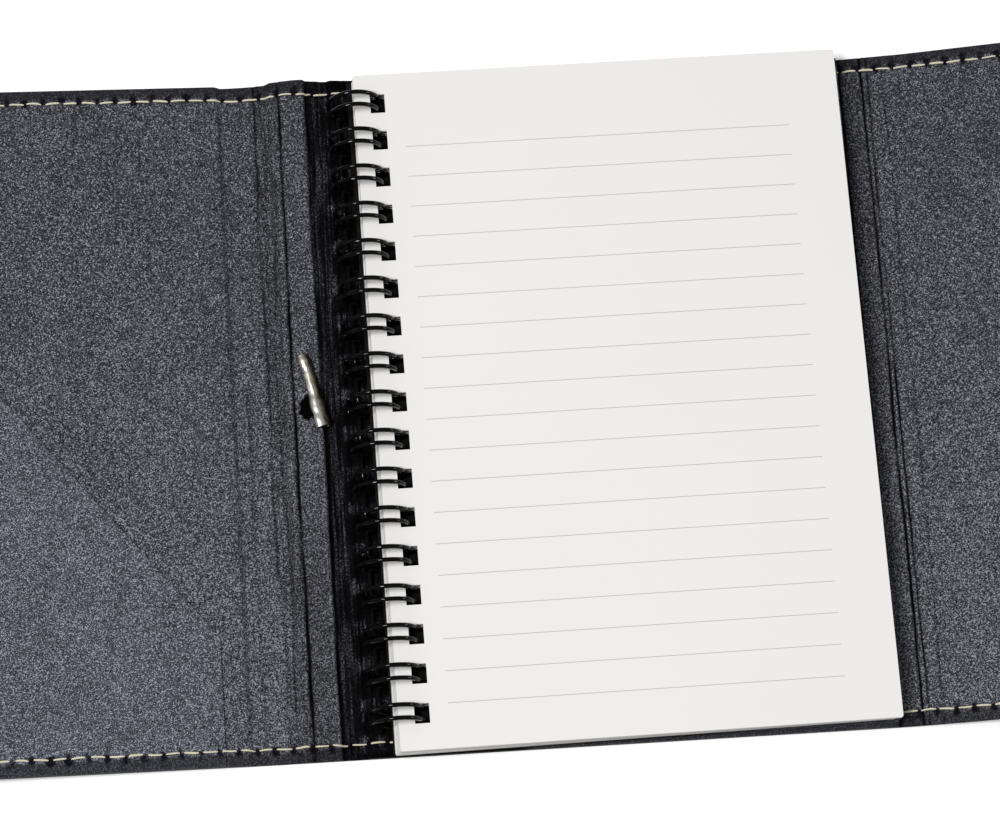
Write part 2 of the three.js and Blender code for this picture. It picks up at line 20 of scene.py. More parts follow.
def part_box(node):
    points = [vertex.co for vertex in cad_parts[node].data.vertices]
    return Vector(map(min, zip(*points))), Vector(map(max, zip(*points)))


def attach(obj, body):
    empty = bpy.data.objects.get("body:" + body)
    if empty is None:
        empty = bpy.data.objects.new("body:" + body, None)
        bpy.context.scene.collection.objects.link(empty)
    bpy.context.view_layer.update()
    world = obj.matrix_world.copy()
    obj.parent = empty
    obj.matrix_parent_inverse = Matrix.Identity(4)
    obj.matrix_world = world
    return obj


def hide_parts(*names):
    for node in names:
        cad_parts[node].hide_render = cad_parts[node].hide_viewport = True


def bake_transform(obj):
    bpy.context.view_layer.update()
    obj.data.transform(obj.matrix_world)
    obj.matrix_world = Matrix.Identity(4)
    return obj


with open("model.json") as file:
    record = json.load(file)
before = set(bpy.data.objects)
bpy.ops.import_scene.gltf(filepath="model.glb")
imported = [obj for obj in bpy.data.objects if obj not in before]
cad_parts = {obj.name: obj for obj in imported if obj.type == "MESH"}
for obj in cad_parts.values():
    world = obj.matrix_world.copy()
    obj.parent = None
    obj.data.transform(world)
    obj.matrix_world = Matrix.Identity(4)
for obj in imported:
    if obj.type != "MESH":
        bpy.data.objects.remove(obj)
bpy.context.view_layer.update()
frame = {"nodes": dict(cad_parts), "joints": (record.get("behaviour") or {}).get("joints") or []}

# %% [markdown]
# ## Fold lines and levels
# A cover like this is cut and sewn flat, and only then folded. We model it the same way: every
# leather piece is first drawn on the flat strip, and a single function then lays it in the
# notebook. So we need the four fold lines as they are on the flat strip, and the levels of the
# layers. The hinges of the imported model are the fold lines, and its boxes give the levels. We work
# in millimetres while we draw, and turn them into metres as the last step.

# %% Measure the flat cover
MM = 0.001
FRONT_TILT, GUSSET_TILT, FLAP_TILT = (math.radians(a) for a in (4, 8, 4))
SOFT_FOLD, BOARDED_FOLD = 1.5, 2.75  # fold line to the start of a soft or a boarded panel
CORNER = 4.0

hinge = {j["name"]: [c / MM for c in j["pos_m"]] for j in frame["joints"]}


def box_mm(node):
    low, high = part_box(node)
    return low / MM, high / MM


AXIS = hinge["spine_fold"][2]
SPINE, FRONT, FORE = (hinge[n][0] for n in ("spine_fold", "front_fold", "fore_edge_fold"))
flap_at = hinge["flap_fold"]
FLAP = FORE + math.hypot(flap_at[0] - FORE, flap_at[2] - AXIS)
panel_low, panel_high = box_mm("back_lining")
PANEL_TOP, HALF = panel_high.z, panel_high.y
SOFT_TOP = box_mm("spine_fold_skin")[1].z
SKIN_TOP = box_mm("back_outer")[1].z
strip_low, strip_high = box_mm("spine_strip")
LEFT = FRONT - (FRONT - box_mm("front_outer")[0].x - AXIS * math.sin(FRONT_TILT)) / math.cos(FRONT_TILT)
open_tilt = GUSSET_TILT + FLAP_TILT
RIGHT = FLAP + (box_mm("flap_outer")[1].x - flap_at[0] - AXIS * math.sin(open_tilt)) / math.cos(open_tilt)
print(f"flat cover {LEFT:.1f} to {RIGHT:.1f}, folds {FRONT:.1f} {SPINE:.1f} {FORE:.1f} {FLAP:.1f}")

# %% [markdown]
# ## Laying the flat cover in the open notebook
# The open cover isn't quite flat: the front panel leans up a little, and so do the gusset and the
# flap. A sharp hinge would leave a hard line in the leather. Instead each point turns about the
# fold by an amount that grows smoothly across the fold zone.

# %% Helpers that lay a flat point
def smooth(value, low, high):
    t = min(max((value - low) / (high - low), 0.0), 1.0)
    return t * t * (3 - 2 * t)


def bump(distance, width):
    return math.exp(-(distance / width) ** 2)


def ruffle(x, y, wide, tall, seed):
    return noise.noise(Vector((x / wide, y / tall, seed * 7.31)))


def turned(x, z, fold, angle):
    c, s = math.cos(angle), math.sin(angle)
    return fold + (x - fold) * c + (z - AXIS) * s, AXIS - (x - fold) * s + (z - AXIS) * c


def laid(x, y, z):
    if x < SPINE:
        x, z = turned(x, z, FRONT, FRONT_TILT * smooth(x, FRONT + SOFT_FOLD, FRONT - BOARDED_FOLD))
    elif x > 0:
        flat = x
        x, z = turned(x, z, FLAP, -FLAP_TILT * smooth(flat, FLAP - SOFT_FOLD, FLAP + SOFT_FOLD))
        x, z = turned(x, z, FORE, -GUSSET_TILT * smooth(flat, FORE - SOFT_FOLD, FORE + SOFT_FOLD))
    return Vector((x, y, z))


print("outer edges lie at", [round(c, 1) for c in laid(LEFT, 0, 0)], [round(c, 1) for c in laid(RIGHT, 0, 0)])

# %% [markdown]
# ## Creases and the surface of the lining
# Use has left its marks on the lining. Each fold shows one or two thin creases that wander a
# little, with painted shade along each one and a painted highlight beside it, and the soft zones are
# ruffled. Beside the binding the lining is painted near black for the shade there, with painted
# shadow where each pair of wire loops lies over it. At the head the spine has sprung up in a low hump.
#
# We could sculpt this by hand, but then nobody could repeat it. A function of the place on the
# flat strip is exact, repeatable and easy to change. One function gives the height and another
# gives the wear and the painted shade, and they share the list of creases, so colour and relief agree.

# %% Creases, hump, wear and painted shade as functions of the place on the flat cover
SEAM = HALF - 3.2
HUMP_X, HUMP_HEIGHT = -62.0, 2.5
# place, depth, width, from, to, wander, painted shade
CREASES = [
    (-76.9, 0.10, 0.35, -86, 10, 0.35, 0.35),
    (-72.3, 0.22, 0.30, -40, 86, 0.55, 0.70),
    (-70.1, 0.10, 0.28, -86, 40, 0.60, 0.40),
    (-66.9, 0.32, 0.30, -86, 86, 0.45, 1.00),
    (-60.7, 0.32, 0.32, -86, 86, 0.40, 0.95),
    (58.7, 0.28, 0.32, -86, 86, 0.30, 1.00),
    (64.0, 0.28, 0.26, -86, 86, 0.35, 1.05),
    (65.2, 0.20, 0.24, -86, 86, 0.30, 0.95),
    (68.6, 0.10, 0.24, -86, 86, 0.50, 0.55),
]


def crease_marks(x, y):
    """How deep the creases are at a place on the flat cover, and how much shade is painted into them."""
    depth = dark = 0.0
    for i, (at, deep, width, start, end, wander, crease_shade) in enumerate(CREASES):
        centre = at + wander * (ruffle(0, y, 1, 26, i) + 0.45 * ruffle(0, y, 1, 7, i + 20))
        gap = x - centre
        if abs(gap) > 2.5:
            continue
        here = smooth(y, start, start + 8) * smooth(y, end, end - 8)
        here *= 0.75 + 0.5 * ruffle(0, y, 1, 11, i + 40)
        depth += deep * here * (bump(gap, width) - 0.45 * bump(gap - 0.75, 0.5))
        # Painted shade along the crease, and a painted highlight just beside it.
        dark += crease_shade * here * (1.3 * bump(gap, width * 1.15) - 0.25 * bump(gap + 0.8, 0.35))
    return depth, dark


def hump(x, y):
    return HUMP_HEIGHT * bump(x - HUMP_X, 7.5) * smooth(y, HALF - 14, HALF + 1)


def soft_zone(x):
    return smooth(x, strip_low.x - 5, strip_low.x - 4) * smooth(x, strip_low.x + 1, strip_low.x)


# The strip beside the binding: wrinkled, and painted near black for the shade there.
def binding_shade_zone(x):
    return smooth(x, strip_high.x + 1.0, strip_high.x + 1.7) * smooth(x, -20, -24)


LOOP_PITCH = 25.4 / 3
wire_low, wire_high = box_mm("twin_loop_wire")


def loop_shadow(x, y):
    """How much painted shadow falls where a pair of wire loops lies over the lining."""
    row = (y - (wire_low.y + wire_high.y) / 2 + 0.5 + LOOP_PITCH / 2) % LOOP_PITCH - LOOP_PITCH / 2
    return smooth(abs(row), 3.0, 1.7) * smooth(x, -57.6, -55.4)


def lining_top(x, y):
    front = smooth(x, FRONT - 1.6, FRONT - 3.2)
    strip = smooth(x, strip_low.x - 2.2, strip_low.x - 0.7) * smooth(x, strip_high.x + 1.7, strip_high.x + 0.5)
    back = smooth(x, panel_low.x - 1.2, panel_low.x + 0.4) * smooth(x, panel_high.x + 0.5, panel_high.x - 0.8)
    z = SOFT_TOP + (PANEL_TOP - SOFT_TOP) * max(front, strip, back)
    edge = HALF - abs(y)
    z -= 0.75 * (1 - smooth(edge, -0.6, 1.7)) + 0.16 * bump(edge - 3.2, 0.6)
    z += 0.05 * ruffle(x, y, 7, 7, 1) + 0.03 * ruffle(x, y, 2.2, 2.2, 2)
    z += 0.10 * soft_zone(x) * ruffle(x, y, 0.7, 8, 3)
    z += 0.14 * binding_shade_zone(x) * smooth(x, -49, -53) * ruffle(x, y, 0.6, 11, 4)
    return z - crease_marks(x, y)[0]


# Wear, painted shade and painted shadow as one value from 0 to 2; above 1 the painted shadow turns black.
def wear_and_shade(x, y):
    worn_and_shaded = crease_marks(x, y)[1]
    worn_and_shaded += soft_zone(x) * (0.22 + 0.48 * ruffle(x, y, 0.45, 10, 5))
    worn_and_shaded += 0.34 * smooth(x, -68.6, -67.4) * smooth(x, -60.4, -61.4) * smooth(y, 10, -50)
    # Painted shade streaks along the wrinkles, lifted by a painted highlight on a dashed ridge beside the pad.
    painted_streaks = 0.55 * ruffle(x, y, 0.40, 12, 6) - 0.70 * bump(x + 56.2, 0.30) * smooth(ruffle(x, y, 3, 2, 7), -0.1, 0.3)
    # Near-black painted shade beside the binding, and painted shadow under each pair of wire loops.
    worn_and_shaded += binding_shade_zone(x) * (0.93 + painted_streaks + 0.95 * loop_shadow(x, y) * (1 + ruffle(x, y, 1.2, 1.2, 8)))
    worn_and_shaded += 0.36 * smooth(x, FORE - 3, FORE - 2) * smooth(x, 64.6, 63.8)
    return min(max(worn_and_shaded, 0.0), 2.0)


print("lining level on strip", round(lining_top(-64, 20), 2), "in the fold", round(lining_top(-58, 20), 2))

# %% [markdown]
# ## The cord hole
# The elastic that the toggle belongs to comes up through a punched hole beside the strip. The
# lining round it has torn. A boolean cut would give a clean factory hole, so instead the surface
# drops away inside an outline that wobbles with the angle. Inside it the lining is painted black, for
# the black elastic and the shade in the hole. The outline reaches further towards the toggle, and
# there the black is the toggle's painted shadow.

# %% The torn hole as a drop in the surface
toggle_low, toggle_high = box_mm("closure_toggle")
barb_centre = (toggle_low + toggle_high) / 2
HOLE = Vector((barb_centre.x - 1.1, barb_centre.y - 3.9))
HOLE_RADIUS = 2.1


def in_hole(x, y):
    dx, dy = x - HOLE.x, y - HOLE.y
    angle = math.atan2(dy, dx)
    ragged = noise.noise(Vector((2.6 * math.cos(angle), 2.6 * math.sin(angle), 3.7)))
    # The outline reaches further towards the toggle, where its painted shadow falls.
    towards_barb = max(0.0, math.cos(angle - 1.15)) ** 2
    reach = HOLE_RADIUS * (1 + 0.45 * ragged + 0.75 * towards_barb)
    return smooth(math.hypot(dx, dy), reach + 0.25, reach - 0.35)


print("cord hole at", tuple(round(c, 1) for c in HOLE))

# %% [markdown]
# ## Shader nodes with less typing
# Every finish below is a small graph of nodes. Writing each node out in full would bury the idea
# of a finish under lines of set-up, so one helper adds a node, sets its options and fills its
# sockets, either with a value or with a link.

# %% Helpers for building node trees
def add(tree, kind, inputs=None, **options):
    made = tree.nodes.new("ShaderNode" + kind)
    for name, value in options.items():
        setattr(made, name, value)
    for socket, value in (inputs or {}).items():
        if isinstance(value, bpy.types.NodeSocket):
            tree.links.new(value, made.inputs[socket])
        else:
            made.inputs[socket].default_value = value
    return made


def calc(tree, operation, a, b=0.0):
    return add(tree, "Math", {0: a, 1: b}, operation=operation).outputs[0]


def remap(tree, value, low, high, to_low=0.0, to_high=1.0):
    inputs = {"Value": value, "From Min": low, "From Max": high, "To Min": to_low, "To Max": to_high}
    return add(tree, "MapRange", inputs, interpolation_type="SMOOTHSTEP").outputs["Result"]


def mix_colours(tree, factor, a, b):
    return add(tree, "Mix", {0: factor, 6: a, 7: b}, data_type="RGBA").outputs[2]


def new_group(name, inputs, outputs):
    group = bpy.data.node_groups.new(name, "ShaderNodeTree")
    for label, kind, value in inputs:
        socket = group.interface.new_socket(label, in_out="INPUT", socket_type="NodeSocket" + kind)
        if value is not None:
            socket.default_value = value
    for label, kind in outputs:
        group.interface.new_socket(label, in_out="OUTPUT", socket_type="NodeSocket" + kind)
    return group, group.nodes.new("NodeGroupInput").outputs, group.nodes.new("NodeGroupOutput")


def new_material(name, metallic=0.0, specular=0.5):
    material = bpy.data.materials.new(name)
    material.use_nodes = True
    tree = material.node_tree
    shader = tree.nodes["Principled BSDF"]
    shader.inputs["Metallic"].default_value = metallic
    shader.inputs["Specular IOR Level"].default_value = specular
    return material, tree, shader


def feed(tree, shader, colour=None, roughness=None, height=None, bump_mm=0.1, strength=1.0):
    if colour is not None:
        tree.links.new(colour, shader.inputs["Base Color"])
    if roughness is not None:
        tree.links.new(roughness, shader.inputs["Roughness"])
    if height is not None:
        inputs = {"Height": height, "Distance": bump_mm * MM, "Strength": strength}
        tree.links.new(add(tree, "Bump", inputs).outputs["Normal"], shader.inputs["Normal"])


print("node helpers ready")

# %% [markdown]
# ## A speckled grain, used by every lining leather
# The lining is dark leather finished with a sparkling pigment. Seen close, bright flecks of about
# a third of a millimetre lie on a nearly black ground, thicker in some places than in others, on a
# soft pebbled grain.
#
# A single noise gives an even grey haze, with no sparkle. We therefore add two patterns: a fine
# noise for the uneven ground, and the cells of a Voronoi pattern, each with its own random level,
# for the separate flecks. It is a group, because the lining and the pocket both use it.

# %% Group: speckled grain
def make_speckle():
    group, given, out = new_group(
        "speckled_grain",
        [("Vector", "Vector", None), ("Fleck Scale", "Float", 3000.0), ("Sparkle", "Float", 0.5)],
        [("Fleck", "Float"), ("Cloud", "Float"), ("Relief", "Float")],
    )
    vector, scale, sparkle = given["Vector"], given["Fleck Scale"], given["Sparkle"]
    ground = add(group, "TexNoise", {"Vector": vector, "Scale": scale, "Detail": 2.0, "Roughness": 0.7})
    cells = add(group, "TexVoronoi", {"Vector": vector, "Scale": scale, "Randomness": 1.0})
    level = add(group, "SeparateColor", {0: cells.outputs["Color"]}).outputs[0]
    spark = calc(group, "MULTIPLY", calc(group, "POWER", level, 7.0), sparkle)
    haze = remap(group, ground.outputs["Fac"], 0.46, 0.80)
    group.links.new(calc(group, "ADD", haze, spark), out.inputs["Fleck"])
    cloud = add(group, "TexNoise", {"Vector": vector, "Scale": 70.0, "Detail": 4.0, "Roughness": 0.6})
    group.links.new(cloud.outputs["Fac"], out.inputs["Cloud"])
    pebble = add(group, "TexNoise", {"Vector": vector, "Scale": 520.0, "Detail": 3.0, "Roughness": 0.55,
                                     "Distortion": 0.6})
    wide = add(group, "TexNoise", {"Vector": vector, "Scale": 210.0, "Detail": 1.0})
    relief = calc(group, "ADD", pebble.outputs["Fac"], calc(group, "MULTIPLY", wide.outputs["Fac"], 1.5))
    group.links.new(relief, out.inputs["Relief"])
    return group


speckled_grain = make_speckle()
print("group:", speckled_grain.name)

# %% [markdown]
# ## Needle dents, used by every sewn leather
# Where the needle went through, the leather is pulled down into a small dent, and shade is painted
# into it. The stitches are evenly spaced, so the dents need no list: a ping-pong of the distance
# along the seam is zero at each needle hole. A little noise keeps them from looking machined.

# %% Group: needle dents
STITCH_PITCH = 3.95


def make_dents():
    group, given, out = new_group(
        "needle_dents", [("Vector", "Vector", None), ("Pitch", "Float", STITCH_PITCH * MM),
                         ("Seam", "Float", SEAM * MM)], [("Dent", "Float")])
    place = add(group, "SeparateXYZ", {0: given["Vector"]}).outputs
    along = calc(group, "PINGPONG", place["X"], calc(group, "MULTIPLY", given["Pitch"], 0.5))
    across = calc(group, "SUBTRACT", calc(group, "ABSOLUTE", place["Y"]), given["Seam"])
    across = calc(group, "SUBTRACT", across, 0.40 * MM)
    uneven = add(group, "TexNoise", {"Vector": given["Vector"], "Scale": 480.0, "Detail": 2.0})
    a = calc(group, "MULTIPLY", along, 1 / (0.95 * MM))
    b = calc(group, "MULTIPLY", across, 1 / (1.10 * MM))
    far = calc(group, "SQRT", calc(group, "ADD", calc(group, "MULTIPLY", a, a), calc(group, "MULTIPLY", b, b)))
    far = calc(group, "ADD", far, calc(group, "MULTIPLY", calc(group, "SUBTRACT", uneven.outputs["Fac"], 0.5), 2.6))
    group.links.new(remap(group, far, 0.45, 1.35, 1.0, 0.0), out.inputs["Dent"])
    return group


needle_dents = make_dents()
print("group:", needle_dents.name, "every", STITCH_PITCH, "mm")

# %% [markdown]
# ## Lining and pocket leather
# Both are the same speckled hide. The pocket leaf was never folded, so its speckle is a little
# finer, bluer and more even. The finish is painted from the flat cover's own coordinates, kept in
# an attribute of each mesh, and not from the object's. When the cover folds, the pattern then
# stays on the leather.

# %% Materials: lining leather and pocket leather
def make_lining(name, ground, fleck, fleck_scale, sparkle, relief_mm):
    material, tree, shader = new_material(name, specular=0.03)
    flat = add(tree, "Attribute", attribute_name="laid_flat").outputs["Vector"]
    worn_and_shaded = add(tree, "Attribute", attribute_name="worn_and_shaded").outputs["Fac"]
    grain = add(tree, "Group", node_tree=speckled_grain)
    dents = add(tree, "Group", node_tree=needle_dents)
    for made in (grain, dents):
        tree.links.new(flat, made.inputs["Vector"])
    grain.inputs["Fleck Scale"].default_value = fleck_scale
    grain.inputs["Sparkle"].default_value = sparkle
    amount = calc(tree, "MULTIPLY", grain.outputs["Fleck"], remap(tree, grain.outputs["Cloud"], 0.3, 0.7, 0.86, 1.12))
    up = add(tree, "SeparateXYZ", {0: flat}).outputs["Y"]
    # A painted sheen: the flecks are brighter towards the tail and dimmer towards the head.
    sheen_towards_tail = remap(tree, up, -HALF * MM, HALF * MM, 1.06, 0.66)
    amount = calc(tree, "MULTIPLY", amount, sheen_towards_tail)
    speckled = mix_colours(tree, amount, ground, fleck)
    edge = remap(tree, calc(tree, "ABSOLUTE", up), (SEAM + 0.2) * MM, (SEAM + 1.2) * MM, 0.0, 0.76)
    # A near-black for wear and for painted shade in the creases and beside the binding.
    few = calc(tree, "MULTIPLY", grain.outputs["Fleck"], 0.32)
    bare_and_shaded = mix_colours(tree, few, (0.0008, 0.0006, 0.0010, 1), (0.020, 0.018, 0.021, 1))
    colour = mix_colours(tree, edge, speckled, (0.014, 0.014, 0.016, 1))
    colour = mix_colours(tree, worn_and_shaded, colour, bare_and_shaded)
    # Above 1 the colour goes black: painted shadow under the wire loops and in the cord hole.
    colour = mix_colours(tree, calc(tree, "SUBTRACT", worn_and_shaded, 1.0), colour, (0.0002, 0.0002, 0.0003, 1))
    # Painted shade in the needle dents.
    colour = mix_colours(tree, calc(tree, "MULTIPLY", dents.outputs["Dent"], 0.95), colour, (0.002, 0.0015, 0.004, 1))
    relief = calc(tree, "SUBTRACT", grain.outputs["Relief"], calc(tree, "MULTIPLY", dents.outputs["Dent"], 1.6))
    feed(tree, shader, colour, remap(tree, grain.outputs["Fleck"], 0.0, 1.0, 0.72, 0.5), relief, relief_mm)
    return material


lining_leather = make_lining("lining_leather", (0.0095, 0.010, 0.0130, 1), (0.285, 0.29, 0.33, 1), 4600.0, 1.7, 0.13)
pocket_leather = make_lining("pocket_leather", (0.015, 0.0165, 0.022, 1), (0.31, 0.325, 0.385, 1), 5000.0, 1.6, 0.06)
print("materials:", lining_leather.name, pocket_leather.name)

# %% [markdown]
# ## Outer leather
# The outside is plain black leather with a fine pebble grain, smooth where hands have polished
# the raised parts. Voronoi cells make the pebbles, and the same pattern lowers the roughness on
# their tops, because that's where leather takes a shine.

# %% Material: outer leather
def make_cover_leather():
    material, tree, shader = new_material("cover_leather", specular=0.25)
    flat = add(tree, "Attribute", attribute_name="laid_flat").outputs["Vector"]
    cells = add(tree, "TexVoronoi", {"Vector": flat, "Scale": 1300.0, "Smoothness": 0.6}, feature="SMOOTH_F1")
    cloud = add(tree, "TexNoise", {"Vector": flat, "Scale": 60.0, "Detail": 5.0})
    pebble = remap(tree, cells.outputs["Distance"], 0.0, 0.75, 1.0, 0.0)
    shade = calc(tree, "MULTIPLY", pebble, cloud.outputs["Fac"])
    colour = mix_colours(tree, shade, (0.006, 0.006, 0.007, 1), (0.014, 0.014, 0.015, 1))
    feed(tree, shader, colour, remap(tree, pebble, 0.0, 1.0, 0.70, 0.48), pebble, 0.10)
    return material


cover_leather = make_cover_leather()
print("material:", cover_leather.name)

# %% [markdown]
# ## Paper
# The sheets are smooth white writing paper. The top sheet has nineteen pale ruled lines with wide
# margins. The lines could be thin strips of geometry, but ink has no height. We therefore draw
# them in the shader: a Mapping node puts the pattern's zero at the sheet's head corner and turns
# it with the pad, and rounding the distance down the page picks the nearest line.
#
# The sheets below are plain, and their cut edges show as fine grey lines of painted shade between the leaves.

# %% Materials: ruled and plain paper
SHEET_WIDTH, SHEET_HEIGHT = 107.0, 150.0
PAD_SKEW = math.radians(0.5)
LINES, FIRST_LINE, LINE_STEP = 19, 17.0, 6.856
LINE_START, LINE_END = 10.65, 95.35
top_low, top_high = box_mm("top_sheet")
PAD = (top_low + top_high) / 2


def on_pad(x, y, z):
    """A point given from the middle of the top sheet's spine edge, placed in the notebook."""
    x -= SHEET_WIDTH / 2
    c, s = math.cos(PAD_SKEW), math.sin(PAD_SKEW)
    return Vector((PAD.x + x * c - y * s, PAD.y + x * s + y * c, z))


def paper_base(tree, vector):
    fibre = add(tree, "TexNoise", {"Vector": vector, "Scale": 900.0, "Detail": 3.0})
    cloud = add(tree, "TexNoise", {"Vector": vector, "Scale": 25.0, "Detail": 2.0})
    white = mix_colours(tree, cloud.outputs["Fac"], (0.782, 0.772, 0.757, 1), (0.798, 0.789, 0.776, 1))
    specks = add(tree, "TexVoronoi", {"Vector": vector, "Scale": 46.0})
    speck = remap(tree, specks.outputs["Distance"], 0.006, 0.012, 0.35, 0.0)
    return mix_colours(tree, speck, white, (0.40, 0.39, 0.37, 1)), fibre.outputs["Fac"]


def make_ruled_paper():
    material, tree, shader = new_material("ruled_paper", specular=0.2)
    place = add(tree, "TexCoord").outputs["Object"]
    white, fibre = paper_base(tree, place)
    corner = on_pad(0, SHEET_HEIGHT / 2, 0) * MM
    turn = {"Vector": place, "Location": corner, "Rotation": (0, 0, PAD_SKEW)}
    sheet = add(tree, "Mapping", turn, vector_type="TEXTURE")
    across, up, _ = add(tree, "SeparateXYZ", {0: sheet.outputs[0]}).outputs
    below = calc(tree, "SUBTRACT", calc(tree, "MULTIPLY", up, -1.0), FIRST_LINE * MM)
    count = calc(tree, "DIVIDE", below, LINE_STEP * MM)
    nearest = calc(tree, "ROUND", count)
    off = calc(tree, "MULTIPLY", calc(tree, "ABSOLUTE", calc(tree, "SUBTRACT", count, nearest)), LINE_STEP)
    ink = remap(tree, off, 0.05, 0.11, 1.0, 0.0)
    for value, least, most in ((nearest, -0.5, LINES - 0.5), (across, LINE_START * MM, LINE_END * MM)):
        ink = calc(tree, "MULTIPLY", ink, calc(tree, "GREATER_THAN", value, least))
        ink = calc(tree, "MULTIPLY", ink, calc(tree, "LESS_THAN", value, most))
    colour = mix_colours(tree, calc(tree, "MULTIPLY", ink, 0.62), white, (0.27, 0.27, 0.26, 1))
    feed(tree, shader, colour, remap(tree, fibre, 0.3, 0.7, 0.8, 0.9), fibre, 0.02, 0.5)
    return material


def make_plain_paper():
    material, tree, shader = new_material("plain_paper", specular=0.0)
    place = add(tree, "TexCoord").outputs["Object"]
    white, fibre = paper_base(tree, place)
    layers = {"Vector": place, "Scale": 1600.0, "Distortion": 0.4, "Detail": 1.0}
    stack = add(tree, "TexWave", layers, bands_direction="Z")
    facing = add(tree, "SeparateXYZ", {0: add(tree, "NewGeometry").outputs["Normal"]}).outputs["Z"]
    side = calc(tree, "SUBTRACT", 1.0, calc(tree, "ABSOLUTE", facing))
    # Painted shade on the side faces, in bands between the stacked leaves.
    edge = calc(tree, "MULTIPLY", remap(tree, side, 0.4, 0.8), remap(tree, stack.outputs["Fac"], 0.2, 0.9, 0.45, 0.0))
    punched_and_shaded = add(tree, "Attribute", attribute_name="punched_and_shaded").outputs["Fac"]
    colour = mix_colours(tree, edge, white, (0.42, 0.41, 0.40, 1))
    # Painted shade from the mark: black in the holes of a lower leaf, grey along its spine and tail edges.
    colour = mix_colours(tree, punched_and_shaded, colour, (0.002, 0.002, 0.002, 1))
    feed(tree, shader, colour, remap(tree, fibre, 0.3, 0.7, 0.8, 0.9), fibre, 0.02, 0.5)
    return material


ruled_paper, plain_paper = make_ruled_paper(), make_plain_paper()
print("ruled:", LINES, "lines,", LINE_STEP, "mm apart")

# %% [markdown]
# ## Card, board, thread, coated wire and nickel
# The small parts have simple finishes, but none is one flat colour. Card and board show fibres.
# The thread shows its twist. The wire's black coat has fine scuffs in its gloss. The nickel is
# dull in patches and scratched along its length, which is what makes a metal look handled.

# %% Materials for the small parts
def make_fibrous(name, dark, light, scale, bump_mm):
    material, tree, shader = new_material(name, specular=0.06)
    place = add(tree, "TexCoord").outputs["Object"]
    fibre = add(tree, "TexNoise", {"Vector": place, "Scale": scale, "Detail": 5.0, "Roughness": 0.7}).outputs["Fac"]
    feed(tree, shader, mix_colours(tree, fibre, dark, light), remap(tree, fibre, 0.3, 0.7, 0.75, 0.92), fibre, bump_mm)
    return material


def make_thread():
    material, tree, shader = new_material("seam_thread", specular=0.2)
    flat = add(tree, "Attribute", attribute_name="laid_flat").outputs["Vector"]
    slant = add(tree, "Mapping", {"Vector": flat, "Rotation": (0, 0, math.radians(38))})
    strands = {"Vector": slant.outputs[0], "Scale": 900.0, "Distortion": 0.6}
    twist = add(tree, "TexWave", strands, bands_direction="X").outputs["Fac"]
    fuzz = add(tree, "TexNoise", {"Vector": flat, "Scale": 700.0, "Detail": 3.0}).outputs["Fac"]
    colour = mix_colours(tree, calc(tree, "MULTIPLY", twist, fuzz), (0.60, 0.56, 0.40, 1), (0.97, 0.95, 0.80, 1))
    feed(tree, shader, colour, remap(tree, fuzz, 0.2, 0.8, 0.65, 0.85), twist, 0.06)
    return material


def make_coated_wire():
    material, tree, shader = new_material("coated_wire", specular=0.16)
    place = add(tree, "TexCoord").outputs["Object"]
    scuff = add(tree, "TexNoise", {"Vector": place, "Scale": 700.0, "Detail": 4.0}).outputs["Fac"]
    colour = mix_colours(tree, scuff, (0.0006, 0.0006, 0.0006, 1), (0.0025, 0.0025, 0.0025, 1))
    feed(tree, shader, colour, remap(tree, scuff, 0.4, 0.75, 0.05, 0.11), scuff, 0.012)
    return material


def make_nickel():
    material, tree, shader = new_material("worn_nickel", metallic=1.0)
    place = add(tree, "TexCoord").outputs["Object"]
    patch = add(tree, "TexNoise", {"Vector": place, "Scale": 330.0, "Detail": 3.0}).outputs["Fac"]
    along = add(tree, "Mapping", {"Vector": place, "Rotation": (0, 0, -math.radians(13.9)), "Scale": (6, 0.5, 6)})
    scratch = add(tree, "TexNoise", {"Vector": along.outputs[0], "Scale": 900.0, "Detail": 4.0}).outputs["Fac"]
    # Painted shade and reflection: the barb's right side is painted dark olive.
    side_shade = add(tree, "Attribute", attribute_name="painted_side_shade").outputs["Fac"]
    clean = mix_colours(tree, remap(tree, patch, 0.45, 0.65), (0.86, 0.84, 0.78, 1), (0.52, 0.49, 0.40, 1))
    colour = mix_colours(tree, side_shade, clean, (0.20, 0.18, 0.11, 1))
    rough = calc(tree, "ADD", remap(tree, patch, 0.4, 0.65, 0.14, 0.32), calc(tree, "MULTIPLY", scratch, 0.12))
    feed(tree, shader, colour, rough, scratch, 0.02)
    return material


black_card = make_fibrous("black_card", (0.003, 0.003, 0.003, 1), (0.012, 0.012, 0.012, 1), 900.0, 0.05)
grey_board = make_fibrous("grey_board", (0.16, 0.14, 0.12, 1), (0.30, 0.27, 0.23, 1), 500.0, 0.1)
seam_thread, coated_wire, worn_nickel = make_thread(), make_coated_wire(), make_nickel()
print("small finishes made")

# %% [markdown]
# ## A sheet of leather as a mesh
# A piece of leather here is a slab with a shaped top and a shaped underside. We start from a flat
# grid, move its rows and columns closer together where there is detail, and then extrude the
# whole face to close the slab. Bending a finished box would leave the same number of faces
# everywhere, and the creases need far more than the plain panels.

# %% Helpers for leather slabs
def spaced(*spans):
    """Rising positions from (start, end, step) spans that follow one another."""
    places = [spans[0][0]]
    for start, end, step in spans:
        count = max(1, round((end - start) / step))
        places += [start + (end - start) * (i + 1) / count for i in range(count)]
    return places


def finish_mesh(name, bm, material, sharp=45):
    bmesh.ops.recalc_face_normals(bm, faces=bm.faces)
    for face in bm.faces:
        face.smooth = True
    mesh = bpy.data.meshes.new(name)
    bm.to_mesh(mesh)
    bm.free()
    mesh.set_sharp_from_angle(angle=math.radians(sharp))
    mesh.materials.append(material)
    piece = bpy.data.objects.new(name, mesh)
    bpy.context.scene.collection.objects.link(piece)
    return piece


